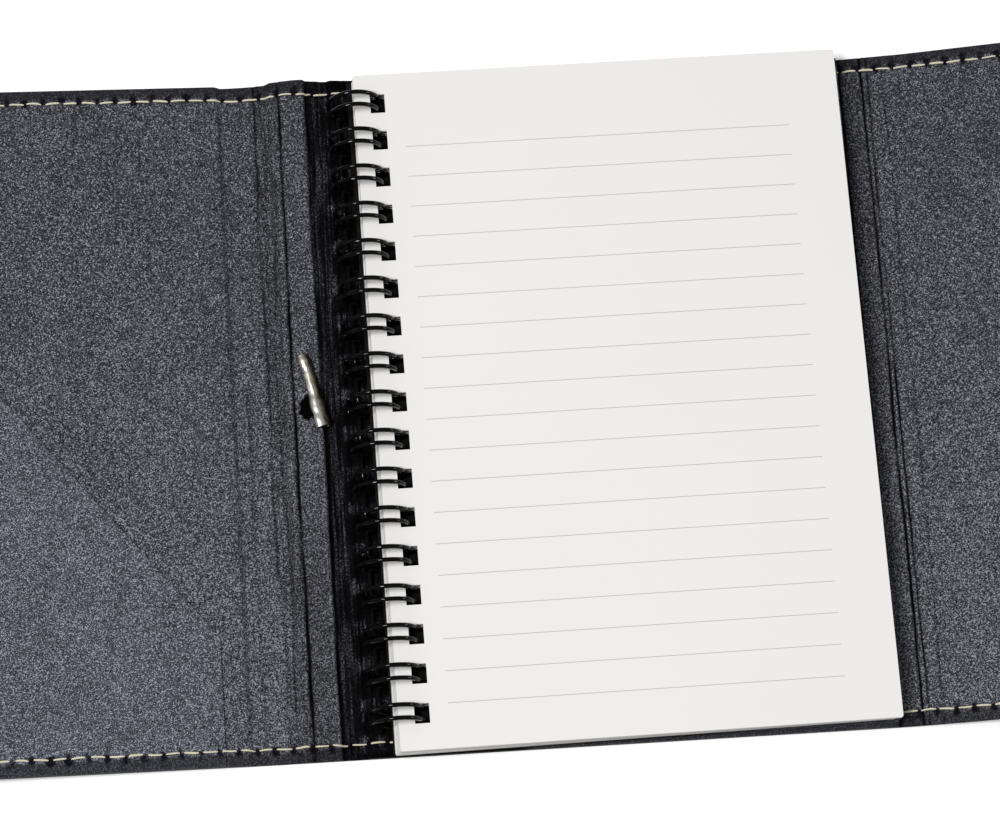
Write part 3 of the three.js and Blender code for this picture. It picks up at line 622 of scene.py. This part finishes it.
def start_grid(columns, rows):
    """A grid whose vertices stand at the given columns and rows, and its vertices' places in it."""
    bm = bmesh.new()
    nx, ny = len(columns) - 1, len(rows) - 1
    bmesh.ops.create_grid(bm, x_segments=nx, y_segments=ny, size=0.5)
    assert len(bm.faces) == nx * ny
    for v in bm.verts:
        v.co.x = columns[round((v.co.x + 0.5) * nx)]
        v.co.y = rows[round((v.co.y + 0.5) * ny)]
    return bm


def thicken(bm):
    """Closes an open face into a slab and returns the vertices of its underside."""
    made = bmesh.ops.extrude_face_region(bm, geom=bm.faces[:])
    under = [g for g in made["geom"] if isinstance(g, bmesh.types.BMVert)]
    assert all(len(e.link_faces) == 2 for e in bm.edges)
    return under


def leather_piece(name, columns, rows, top, underside, material, worn_and_shaded=None):
    bm = start_grid(columns, rows)
    flat = bm.verts.layers.float_vector.new("laid_flat")
    wear_and_shade_layer = bm.verts.layers.float.new("worn_and_shaded")
    under = set(thicken(bm))
    for v in bm.verts:
        x, y = v.co.x, v.co.y
        inward = min(x - LEFT, RIGHT - x)
        if inward < CORNER:
            y *= (HALF - CORNER + math.sqrt(max(CORNER ** 2 - (CORNER - inward) ** 2, 0))) / HALF
        z = underside(x, y) if v in under else top(x, y)
        v[flat] = Vector((x, y, z)) * MM
        if worn_and_shaded:
            v[wear_and_shade_layer] = worn_and_shaded(x, y)
        lift = hump(x, y)
        v.co = (laid(x, y, z) + Vector((0, 0, lift))) * MM
    return finish_mesh(name, bm, material)


def edge_rows(step, fine=None):
    """Rows that crowd together at the head and tail seams, and where asked."""
    near = [0, 0.15, 0.4, 0.8, 1.3, 1.9, 2.4, 2.75, 3.0, 3.2, 3.4, 3.65, 4.0, 4.6, 5.4, 6.6, 8.2, 10]
    middle = spaced((-HALF + 10, HALF - 10, step))
    if fine:
        middle = spaced((-HALF + 10, fine[0], step), (*fine, 0.28), (fine[1], HALF - 10, step))
    return [-HALF + d for d in near] + middle[1:-1] + [HALF - d for d in reversed(near)]


print("rows on a panel:", len(edge_rows(1.5)))

# %% [markdown]
# ## The lining
# The lining is one strip, but we cut it into four, where nobody will see the cut: along a crease in
# the spine, under the pad, and along a crease in the gusset. Each piece holds one fold. Both sides of
# a cut are worked out by the same functions, so they meet exactly.
#
# Under a board panel the lining is hollow, because the board lies there. Along the edges, where
# it is sewn down, it is solid to the outer skin.

# %% Make and bend the lining
def lining_under(x, y):
    top = lining_top(x, y)
    border = smooth(min(HALF - abs(y), x - LEFT, RIGHT - x), 4.5, 4.2)
    return top - 0.62 + (SKIN_TOP + 0.05 - top + 0.62) * border


def lining_top_with_hole(x, y):
    return lining_top(x, y) - 0.55 * in_hole(x, y)


def lining_wear_and_shade(x, y):
    # The cord hole is painted black for the shade and the elastic in it, and for the toggle's painted shadow.
    return max(wear_and_shade(x, y), 2 * in_hole(x, y))


CUT_SPINE, CUT_BACK, CUT_GUSSET = -66.9, 0.0, 64.0
corner_steps = [0, 0.05, 0.2, 0.5, 1.0, 1.7, 2.6]
front_columns = [LEFT + d for d in corner_steps] + spaced((LEFT + 4, FRONT - 5, 1.6), (FRONT - 5, CUT_SPINE, 0.24))
spine_columns = spaced((CUT_SPINE, -51, 0.22), (-51, CUT_BACK, 3))
fore_columns = spaced((CUT_BACK, 56, 4), (56, CUT_GUSSET, 0.24))
flap_columns = spaced((CUT_GUSSET, 70, 0.24), (70, RIGHT - 4, 1.6)) + [RIGHT - d for d in reversed(corner_steps)]
spine_rows = edge_rows(1.3, (HOLE.y - 4.2, HOLE.y + 4.2))
def spine_lining_under(x, y):
    return min(lining_under(x, y), lining_top_with_hole(x, y) - 0.3)


plain_rows = edge_rows(1.3)
lining = {}
for fold, node, columns, rows, top, under, worn_and_shaded in (
    ("front", "front", front_columns, plain_rows, lining_top, lining_under, wear_and_shade),
    ("spine", "spine", spine_columns, spine_rows, lining_top_with_hole, spine_lining_under, lining_wear_and_shade),
    ("fore", "fore_edge", fore_columns, plain_rows, lining_top, lining_under, wear_and_shade),
    ("flap", "flap", flap_columns, plain_rows, lining_top, lining_under, wear_and_shade),
):
    lining[fold] = leather_piece(f"cover_lining_{node}", columns, rows, top, under, lining_leather, worn_and_shaded)
print("lining faces:", {k: len(o.data.polygons) for k, o in lining.items()})

# %% [markdown]
# ## Baking each piece in place
# The functions above already lay every piece in the open notebook. The bend must happen in the soft
# zone between the two panels and nowhere else, or the boards inside would come through. Here each
# piece's placement is baked into its mesh, and the imported parts that it replaces are hidden; the
# pieces are not attached to any body.


def bend(piece):
    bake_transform(piece)


lining_nodes = {"front": ["front_lining"], "spine": ["spine_lining", "back_lining"],
                "fore": ["gusset_lining"], "flap": ["flap_lining"]}
for fold, piece in lining.items():
    bend(piece)
    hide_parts(*lining_nodes[fold])

# %% [markdown]
# ## The outer skin
# The black outer leather is made the same way and cut at the same places. Its underside is what
# the notebook rests on. It has shallow grooves at the folds and a rounded edge all round.

# %% Make and bend the outer skin
def skin_top(x, y):
    return SKIN_TOP - 0.02


def skin_under(x, y):
    edge = min(HALF - abs(y), x - LEFT, RIGHT - x)
    z = 0.38 * (1 - smooth(edge, -0.3, 0.9))
    for fold in (FRONT, SPINE, FORE, FLAP):
        z += 0.20 * bump(x - fold + 0.3 * ruffle(0, y, 1, 18, fold), 0.7)
    z += 0.10 * bump(HALF - abs(y) - 3.2, 0.6)
    return z + 0.03 * (1 + ruffle(x, y, 5, 5, 9))


skin_columns = {
    "front": [LEFT + d for d in corner_steps] + spaced((LEFT + 4, FRONT - 4, 2.6), (FRONT - 4, CUT_SPINE, 0.45)),
    "spine": spaced((CUT_SPINE, -54, 0.45), (-54, CUT_BACK, 2.6)),
    "fore": spaced((CUT_BACK, 56, 2.6), (56, CUT_GUSSET, 0.45)),
    "flap": spaced((CUT_GUSSET, 77, 0.45), (77, RIGHT - 4, 2.6)) + [RIGHT - d for d in reversed(corner_steps)],
}
skin_nodes = {"front": ["front_outer", "front_fold_skin"], "spine": ["spine_outer", "back_outer", "spine_fold_skin"],
              "fore": ["gusset_outer", "fore_edge_fold_skin"], "flap": ["flap_outer", "flap_fold_skin"]}
for fold, columns in skin_columns.items():
    piece = leather_piece(f"cover_skin_{fold}", columns, edge_rows(2.4), skin_top, skin_under, cover_leather)
    bend(piece)
    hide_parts(*skin_nodes[fold])
    print(piece.name, len(piece.data.polygons), "faces")

# %% [markdown]
# ## The document pocket
# One leaf of lining leather lies over the lower outer part of the front panel. Its mouth runs
# down on a slant and then straight to the tail. The edge is raw and lifts a little, which throws
# the thin dark line that draws the pocket.
#
# The grid of the leaf is stretched between its lower edge and its mouth, so the last row follows
# the slant exactly.

# %% Make the pocket leaf
POCKET_CLEAR, POCKET_SLOPE, POCKET_RISE = 7.9, 1.2226, 27.6
POCKET_EDGE = FRONT - POCKET_CLEAR
LEAF = 0.5


def mouth_height(x):
    return min(-HALF + POCKET_RISE + (POCKET_EDGE - x) * POCKET_SLOPE, HALF)


def on_pocket(x, y):
    return x <= POCKET_EDGE and y <= mouth_height(x)


def make_pocket():
    rows = [0, 0.002, 0.006, 0.012, 0.02, 0.03, 0.045] + [0.06 + 0.9 * i / 60 for i in range(61)]
    rows += [0.97, 0.98, 0.988, 0.994, 0.998, 1]
    columns = [LEFT + d for d in corner_steps]
    columns += spaced((LEFT + 4, POCKET_EDGE - 2, 1.8), (POCKET_EDGE - 2, POCKET_EDGE, 0.25))
    bm = start_grid(columns, rows)
    flat = bm.verts.layers.float_vector.new("laid_flat")
    bm.verts.layers.float.new("worn_and_shaded")
    under = set(thicken(bm))
    for v in bm.verts:
        x, share = v.co.x, v.co.y
        inward = x - LEFT
        reach = HALF - (0 if inward >= CORNER else CORNER - math.sqrt(max(CORNER ** 2 - (CORNER - inward) ** 2, 0)))
        high = min(mouth_height(x), reach)
        y = -reach + (high + reach) * share
        rim = min(POCKET_EDGE - x, (mouth_height(x) - y) / math.hypot(1, POCKET_SLOPE))
        lift = 0.20 * smooth(rim, 5, 0) * smooth(HALF + y, 2, 9)
        z = lining_top(x, y) + 0.04 + lift
        if v not in under:
            z += LEAF - 0.12 * (1 - smooth(rim, -0.2, 0.35))
        v[flat] = Vector((x, y, z)) * MM
        v.co = laid(x, y, z) * MM
    return finish_mesh("document_pocket_leaf", bm, pocket_leather)


pocket = make_pocket()
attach(pocket, "front_cover")
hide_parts("document_pocket")
print("pocket leaf:", len(pocket.data.polygons), "faces")

# %% [markdown]
# ## Stitches
# The head and tail seams are sewn with a cream thread. A texture could fake them, but real
# stitches stand up from the leather and dive into it at the needle holes. Each stitch here is a
# small sphere pulled out along the seam, full in the middle and sunk at both ends. No two are
# quite alike: the length, the height and the slant of each one come from a seeded random number.

# %% Sew the seams
THREAD = 0.44
rng = random.Random(41)


def sewn_level(x, y):
    return lining_top(x, y) + (LEAF + 0.04 if on_pocket(x, y) else 0)


def stitch(bm, flat, x0, x1, y):
    slant, sway = rng.uniform(-0.16, 0.16), rng.uniform(-0.14, 0.14)
    fat, rise = rng.uniform(0.86, 1.1), rng.uniform(0.02, 0.12)
    middle, half = (x0 + x1) / 2, (x1 - x0) / 2
    for v in bmesh.ops.create_uvsphere(bm, u_segments=8, v_segments=10, radius=1)["verts"]:
        t = v.co.z
        ring = math.hypot(v.co.x, v.co.y)
        scale = 0 if ring < 1e-6 else THREAD / 2 * fat * (1 - abs(t) ** 5) ** 0.5 / ring
        x = middle + t * half
        at = y + slant * t + sway * (1 - t * t) + v.co.x * scale
        z = sewn_level(x, y) + rise + 0.12 - 0.42 * abs(t) ** 4 + v.co.y * scale * 0.85
        v[flat] = Vector((x, at, z)) * MM
        v.co = (laid(x, at, z) + Vector((0, 0, hump(x, y)))) * MM


def sew(name, x_from, x_to, side):
    bm = bmesh.new()
    flat = bm.verts.layers.float_vector.new("laid_flat")
    first, last = math.ceil(x_from / STITCH_PITCH), math.ceil(x_to / STITCH_PITCH)
    for i in range(first, last):
        x0 = (i + rng.uniform(0.01, 0.10)) * STITCH_PITCH
        x1 = (i + 1 - rng.uniform(0.01, 0.12)) * STITCH_PITCH
        stitch(bm, flat, max(x0, LEFT + 2.6), min(x1, RIGHT - 2.6), side * SEAM)
    return finish_mesh(name, bm, seam_thread, sharp=180)


spans = {"front": (LEFT + 2.2, CUT_SPINE), "spine": (CUT_SPINE, CUT_BACK),
         "fore": (CUT_BACK, CUT_GUSSET), "flap": (CUT_GUSSET, RIGHT - 5)}
seam_nodes = {"front": ["front", "spine_soft"], "spine": ["spine_strip", "back"], "fore": ["gusset"], "flap": ["flap"]}
for fold, (x_from, x_to) in spans.items():
    for end, side in (("head", 1), ("tail", -1)):
        piece = sew(f"{end}_stitches_{fold}", x_from, x_to, side)
        bend(piece)
        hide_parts(*[f"{end}_seam_{n}" for n in seam_nodes[fold]])
print("stitches sewn at", STITCH_PITCH, "mm")

# %% [markdown]
# ## Sleeve, backing card and boards
# The pad's card slides into a sleeve on the back panel. Both are nearly hidden, and their shapes
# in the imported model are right, so it would be wasteful to build them again. A copy of each node
# is merged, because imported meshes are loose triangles, its flat faces are joined up, and its hard
# edges are bevelled. The strip in the spine also has to rise with the leather at the head, or it
# would come out through the outer skin there.

# %% Soften copies of the sleeve and the card
def softened(node, name, material, width, risen=False):
    bm = bmesh.new()
    bm.from_mesh(frame["nodes"][node].data)
    bmesh.ops.remove_doubles(bm, verts=bm.verts, dist=1e-6)
    bmesh.ops.dissolve_limit(bm, angle_limit=math.radians(1), verts=bm.verts, edges=bm.edges)
    corners = [e for e in bm.edges if len(e.link_faces) == 2 and e.calc_face_angle(0) > math.radians(50)]
    bmesh.ops.bevel(bm, geom=corners, offset=width * MM, segments=2, affect="EDGES", profile=0.5,
                    material=-1, clamp_overlap=True)
    if risen:
        for y in spaced((HALF - 14, HALF - 3, 1.0)):
            everything = bm.verts[:] + bm.edges[:] + bm.faces[:]
            bmesh.ops.bisect_plane(bm, geom=everything, plane_co=(0, y * MM, 0), plane_no=(0, 1, 0))
    flat = bm.verts.layers.float_vector.new("laid_flat")
    for v in bm.verts:
        v[flat] = v.co
        if risen:
            v.co.z += hump(v.co.x / MM, v.co.y / MM) * MM
    return finish_mesh(name, bm, material, sharp=30)


sleeve = softened("pad_sleeve", "pad_sleeve_leaf", pocket_leather, 0.3)
card = softened("pad_board", "pad_backing_card", black_card, 0.12)
stiffener = softened("spine_strip", "spine_stiffener", grey_board, 0.12, risen=True)
for piece, node, slot, body in (
    (sleeve, "pad_sleeve", "pocket_leather", "back_cover"),
    (card, "pad_board", "black_card", "back_cover"),
    (stiffener, "spine_strip", "grey_board", "spine"),
):
    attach(piece, body)
    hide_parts(node)
for node in ("back_board", "front_board"):
    frame["nodes"][node].material_slots[0].material = grey_board
print("sleeve, card and stiffener softened, boards refinished")

# %% [markdown]
# ## Sheets of paper
# A punched sheet is a grid whose rows and columns run exactly along the edges of its holes. The
# faces in the holes are deleted, and the rest is extruded to the thickness of the sheet. The same
# builder makes every leaf. A lower leaf hangs further round the ring, so its holes are longer at
# both ends, and none of its paper shows through the holes of the top sheet. The walls of its holes
# carry a mark, which the paper turns black, for the deep shade inside a stack.
#
# The top sheet is thin and lifts a little. The stacks below are made of several leaves, each a
# little out of line, as in any used pad: the lower ones have swung towards the spine at the tail.

# %% Build the leaves
HOLES, HOLE_MARGIN = 17, 6.75
HOLE_WIDTH, HOLE_LENGTH = 3.2, 4.3
HOLE_SLACK = 1.1  # extra length at the far end of a lower leaf's holes
STEP_SHOWN = 0.25  # share of a stack's step back that shows at its spine edge
RING_RADIUS, WIRE, SETOVER = 5.5, 1.0, 0.4
RING_Z = wire_high.z - RING_RADIUS - WIRE / 2
hole_rows = [SHEET_HEIGHT / 2 - HOLE_MARGIN - i * LOOP_PITCH for i in range(HOLES)]


def hole_start(low, high, width):
    """Where a hole starts, from the top sheet's spine edge, for a leaf at this level to hang free."""
    near, far = sorted((abs(low - RING_Z), abs(high - RING_Z)))
    inner = math.sqrt((RING_RADIUS - WIRE / 2) ** 2 - far ** 2)
    outer = math.sqrt((RING_RADIUS + WIRE / 2) ** 2 - near ** 2)
    return (inner + outer - width) / 2 - SETOVER


HOLE_EDGE = hole_start(top_low.z, top_high.z, HOLE_WIDTH)


def page_warp(x, y):
    return 0.12 + 0.12 * ruffle(x, y, 45, 60, 11)


def add_leaf(bm, left, hole, low, high, warp, shift=(0, 0), swing=0.0, punched_and_shaded=False):
    hole_end = HOLE_EDGE + HOLE_WIDTH + (HOLE_SLACK if punched_and_shaded else 0)
    radius = [0, 0.12, 0.35, 0.7, 1.0]
    columns = [left + d for d in radius] + [hole - 0.05, hole, hole_end, hole_end + 0.05]
    columns += spaced((hole_end + 4, left + SHEET_WIDTH - 1, 7 if warp else 14))
    columns += [left + SHEET_WIDTH - d for d in reversed(radius[:-1])]
    edges = sorted(y + s * HOLE_LENGTH / 2 for y in hole_rows for s in (-1, 1))
    half = SHEET_HEIGHT / 2
    beside = [y + (0.05 if i % 2 else -0.05) for i, y in enumerate(edges)]
    rows = [-half, -half + 0.3, -half + 1.2] + sorted(edges + beside) + [half - 1.2, half]
    leaf = start_grid(columns, rows)
    bmesh.ops.delete(leaf, context="FACES", geom=[
        f for f in leaf.faces if hole < f.calc_center_median().x < hole_end
        and any(abs(f.calc_center_median().y - y) < HOLE_LENGTH / 2 for y in hole_rows)])
    mark = leaf.verts.layers.float.new("punched_and_shaded")
    under = set(thicken(leaf))
    for v in leaf.verts:
        x, y = v.co.x, v.co.y
        # Black painted shade on the walls of a lower leaf's holes.
        if punched_and_shaded and hole - 0.01 < x < hole_end + 0.01 and min(abs(y - e) for e in edges) < 0.01:
            v[mark] = 1.0
        # Grey painted shade along a lower leaf's spine and tail edges, between the leaves.
        elif punched_and_shaded and (x < left + 0.05 or y < -half + 0.05):
            v[mark] = 0.35
        inward = min(x - left, left + SHEET_WIDTH - x)
        round_off = 1.0 if x < 50 and y < 0 and not punched_and_shaded else 0.4
        if inward < round_off:
            y *= (half - round_off + math.sqrt(max(round_off ** 2 - (round_off - inward) ** 2, 0))) / half
        z = (low if v in under else high) + (page_warp(x, y) if warp else 0)
        back = half - y
        v.co = on_pad(x + shift[0] - back * swing, y + shift[1] + (x - left) * swing, z) * MM
    mesh = bpy.data.meshes.new("one_leaf")
    leaf.to_mesh(mesh)
    leaf.free()
    bm.from_mesh(mesh)
    bpy.data.meshes.remove(mesh)


def left_of(node):
    """How far a stack's spine edge lies from the top sheet's, read from its box."""
    low, high = box_mm(node)
    return (low.x - PAD.x + SHEET_HEIGHT / 2 * math.sin(PAD_SKEW)) / math.cos(PAD_SKEW) + SHEET_WIDTH / 2


top_mesh = bmesh.new()
add_leaf(top_mesh, 0.0, HOLE_EDGE, top_low.z, top_high.z, warp=True)
top_leaf = finish_mesh("ruled_top_sheet", top_mesh, ruled_paper, sharp=30)
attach(top_leaf, "top_leaf")
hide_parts("top_sheet")

LEAVES = 4
stacks = {"upper_sheets": "sheet_block", "middle_sheets": "back_cover", "lower_sheets": "back_cover"}
shuffle = random.Random(7)
for level, (node, body) in enumerate(stacks.items()):
    low, high = box_mm(node)
    step = (high.z - low.z) / LEAVES
    stack = bmesh.new()
    for i in range(LEAVES):
        depth = level * LEAVES + LEAVES - i
        z = low.z + i * step
        swing = 0.0050 * smooth(depth, 0, 10) + shuffle.uniform(-0.0003, 0.0003)
        along = 0.10 * smooth(depth, 0, 10) + shuffle.uniform(-0.06, 0.06)
        down = -0.22 * smooth(depth, 0, 9) + shuffle.uniform(-0.1, 0.1)
        add_leaf(stack, left_of(node) * STEP_SHOWN, left_of(node) + HOLE_EDGE, z + 0.01, z + step - 0.015,
                 warp=False, shift=(along, down), swing=swing, punched_and_shaded=True)
    piece = finish_mesh(f"{node}_stack", stack, plain_paper, sharp=30)
    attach(piece, body)
    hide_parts(node)
    print(piece.name, len(piece.data.polygons), "faces")

# %% [markdown]
# ## The twin-loop wire
# The binding is a single coated wire, bent to and fro into seventeen pairs of loops. Each pair
# leaves the comb's back, passes up through a hole, over the pad and down to a narrow tip that
# tucks in behind. A curve with a round section is the natural way to draw a bent wire. Its points
# follow the ring, and the curve is then made a mesh, so that it can be finished like the rest.

# %% Bend the wire
WIRE_START, TAPER, WIRE_END = (math.radians(a) for a in (-128, 188, 207))
WIDE, TIP, BEND = 1.4, 0.78, 0.75


def on_ring(angle, y):
    return on_pad(RING_RADIUS * math.cos(angle) - SETOVER, y, RING_Z + RING_RADIUS * math.sin(angle))


def loop_points(y, lean):
    turn = BEND / RING_RADIUS
    root = [(WIRE_START + turn * (1 - math.cos(a)), WIDE + BEND * (1 - math.sin(a)))
            for a in (math.pi / 2 * i / 5 for i in range(1, 5))]
    steps = 44
    climb = []
    for i in range(steps + 1):
        angle = WIRE_START + turn + (WIRE_END - WIRE_START - turn) * i / steps
        climb.append((angle, WIDE + (TIP - WIDE) * smooth(angle, TAPER, WIRE_END)))
    leg = root + climb
    tip = [(WIRE_END + math.sin(a) * TIP / RING_RADIUS, TIP * math.cos(a))
           for a in (math.pi * i / 8 for i in range(1, 8))]
    path = [(a, h) for a, h in leg] + tip + [(a, -h) for a, h in reversed(leg)]
    return [on_ring(a, y + h - lean * smooth(a, 1.2, 3.4)) for a, h in path]


def bend_wire():
    curve = bpy.data.curves.new("wire_path", "CURVE")
    curve.dimensions = "3D"
    curve.bevel_depth, curve.bevel_resolution, curve.use_fill_caps = WIRE / 2 * MM, 2, True
    points = [on_ring(WIRE_START, hole_rows[0] + WIDE + 2 * BEND)]
    sag = random.Random(5)
    for i, y in enumerate(hole_rows):
        points += loop_points(y, 0.9 if i == 0 else sag.uniform(0.1, 0.35))
    points.append(on_ring(WIRE_START, hole_rows[-1] - WIDE - 2 * BEND))
    spline = curve.splines.new("POLY")
    spline.points.add(len(points) - 1)
    for at, point in zip(spline.points, points):
        at.co = (*(point * MM), 1)
    shaped = bpy.data.objects.new("wire_path", curve)
    bpy.context.scene.collection.objects.link(shaped)
    drawn = bpy.data.meshes.new_from_object(shaped.evaluated_get(bpy.context.evaluated_depsgraph_get()))
    bpy.data.objects.remove(shaped)
    bm = bmesh.new()
    bm.from_mesh(drawn)
    bmesh.ops.remove_doubles(bm, verts=bm.verts, dist=1e-7)
    bpy.data.meshes.remove(drawn)
    return finish_mesh("twin_loop_binding", bm, coated_wire)


binding = bend_wire()
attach(binding, "back_cover")
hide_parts("twin_loop_wire")
print("binding:", len(binding.data.polygons), "faces,", HOLES, "loops")

# %% [markdown]
# ## The nickel toggle
# The toggle on the closing elastic is a strip of nickel rolled into a flat barb, crimped by hand
# and dented. We start from an open cone with both ends the same, cut it into rings, and press it:
# it is narrow at one end and flared at the other, and three crimps pinch it. A solidified wall
# leaves its ends open, as rolled metal is.

# %% Roll, crimp and dent the toggle
BARB_LENGTH, BARB_LEAN, BARB_ROLL = 16.5, math.radians(13.9), math.radians(20)
CRIMPS = ((-0.62, 0.13, 0.09), (-0.12, 0.16, 0.12), (0.55, 0.12, 0.08))  # place, depth, width


def roll_barb():
    bm = bmesh.new()
    painted_side_shade = bm.verts.layers.float.new("painted_side_shade")
    bmesh.ops.create_cone(bm, cap_ends=False, segments=32, radius1=1, radius2=1, depth=2)
    long_edges = [e for e in bm.edges if abs(e.verts[0].co.z - e.verts[1].co.z) > 1]
    bmesh.ops.subdivide_edges(bm, edges=long_edges, cuts=47, use_grid_fill=True)
    for v in bm.verts:
        t, a, b = v.co.z, v.co.x, v.co.y
        wide = 1.14 + 0.42 * smooth(t, 0.5, -1.0) - 0.22 * smooth(t, 0.8, 1.0)
        high = 0.80 - 0.25 * smooth(t, 0.85, 1.0)
        for place, depth, width in CRIMPS:
            wide *= 1 - depth * bump(t - place, width)
            high *= 1 - 0.4 * depth * bump(t - place, width)
        angle = math.atan2(b, a)
        dent = 0.07 * noise.noise(Vector((3 * math.cos(angle), 3 * math.sin(angle), 6 * t)))
        ridge = 0.10 * bump(angle - 1.9, 0.5)
        # Painted shade: the right side of the barb is marked for a dark olive.
        v[painted_side_shade] = smooth(math.cos(angle) + 0.25 * noise.noise(Vector((9 * t, angle, 4))), -0.35, 0.35)
        x = (wide + dent) * a + 0.16 * math.sin(3.1 * t + 0.4)
        z = (high + dent + ridge) * b
        v.co = Vector((x, t * BARB_LENGTH / 2, z))
    bmesh.ops.recalc_face_normals(bm, faces=bm.faces)
    bmesh.ops.solidify(bm, geom=bm.faces[:], thickness=0.3)
    bmesh.ops.rotate(bm, verts=bm.verts, cent=(0, 0, 0), matrix=Matrix.Rotation(BARB_ROLL, 3, "Y"))
    bmesh.ops.rotate(bm, verts=bm.verts, cent=(0, 0, 0), matrix=Matrix.Rotation(BARB_LEAN, 3, "Z"))
    bmesh.ops.translate(bm, verts=bm.verts, vec=barb_centre + Vector((0, 0, 0.25)))
    bmesh.ops.scale(bm, verts=bm.verts, vec=(MM, MM, MM))
    return finish_mesh("nickel_barb", bm, worn_nickel, sharp=50)


barb = roll_barb()
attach(barb, "toggle")
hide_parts("closure_toggle")
print("barb:", len(barb.data.polygons), "faces")

# %% [markdown]
# ## Floor, light and camera
# The notebook lies on plain white card. A wide soft light stands to its left and a smaller, lower
# one to its right, and an even white sky fills the shadows. The two lights are what draw the two
# short bright dashes on every loop. The camera looks down from near the tail edge with a long
# lens, so the page keeps its square shape.

# %% Set the stage
def make_floor():
    material, tree, shader = new_material("white_floor", specular=0.1)
    place = add(tree, "TexCoord").outputs["Object"]
    tone = add(tree, "TexNoise", {"Vector": place, "Scale": 3.0, "Detail": 2.0}).outputs["Fac"]
    white = mix_colours(tree, tone, (0.97, 0.97, 0.97, 1), (0.99, 0.99, 0.99, 1))
    feed(tree, shader, white, remap(tree, tone, 0, 1, 0.85, 0.9))
    shader.inputs["Emission Color"].default_value = (1, 1, 1, 1)
    shader.inputs["Emission Strength"].default_value = 0.15
    bm = bmesh.new()
    bmesh.ops.create_grid(bm, x_segments=4, y_segments=4, size=2.5)
    bmesh.ops.translate(bm, verts=bm.verts, vec=(0, 0, -0.00002))
    floor = finish_mesh("floor", bm, material)


def soft_light(name, place, size, power):
    lamp = bpy.data.lights.new(name, "AREA")
    lamp.shape, lamp.size, lamp.energy = "DISK", size, power
    light = bpy.data.objects.new(name, lamp)
    light.location = place
    light.rotation_euler = (-Vector(place)).to_track_quat("-Z", "Y").to_euler()
    bpy.context.scene.collection.objects.link(light)


def set_sky(brightness):
    world = bpy.data.worlds.new("even_sky")
    world.use_nodes = True
    world.node_tree.nodes["Background"].inputs["Color"].default_value = (1, 1, 1, 1)
    world.node_tree.nodes["Background"].inputs["Strength"].default_value = brightness
    bpy.context.scene.world = world


make_floor()
soft_light("window", (-0.50, -0.16, 1.20), 0.36, 13.0)
soft_light("bounce", (1.05, 0.10, 0.42), 0.30, 3.0)
set_sky(0.30)
bpy.context.scene.view_settings.view_transform = "Standard"

lens = bpy.data.cameras.new("camera")
lens.lens, lens.sensor_width = 126, 36
camera = bpy.data.objects.new("camera", lens)
camera.location = Vector((-75.6, -182.7, 739.8)) * MM
camera.rotation_euler = Euler([math.radians(a) for a in (13.953, -3.147, -3.950)])
bpy.context.scene.collection.objects.link(camera)
bpy.context.scene.camera = camera
print("camera", [round(c, 3) for c in camera.location])
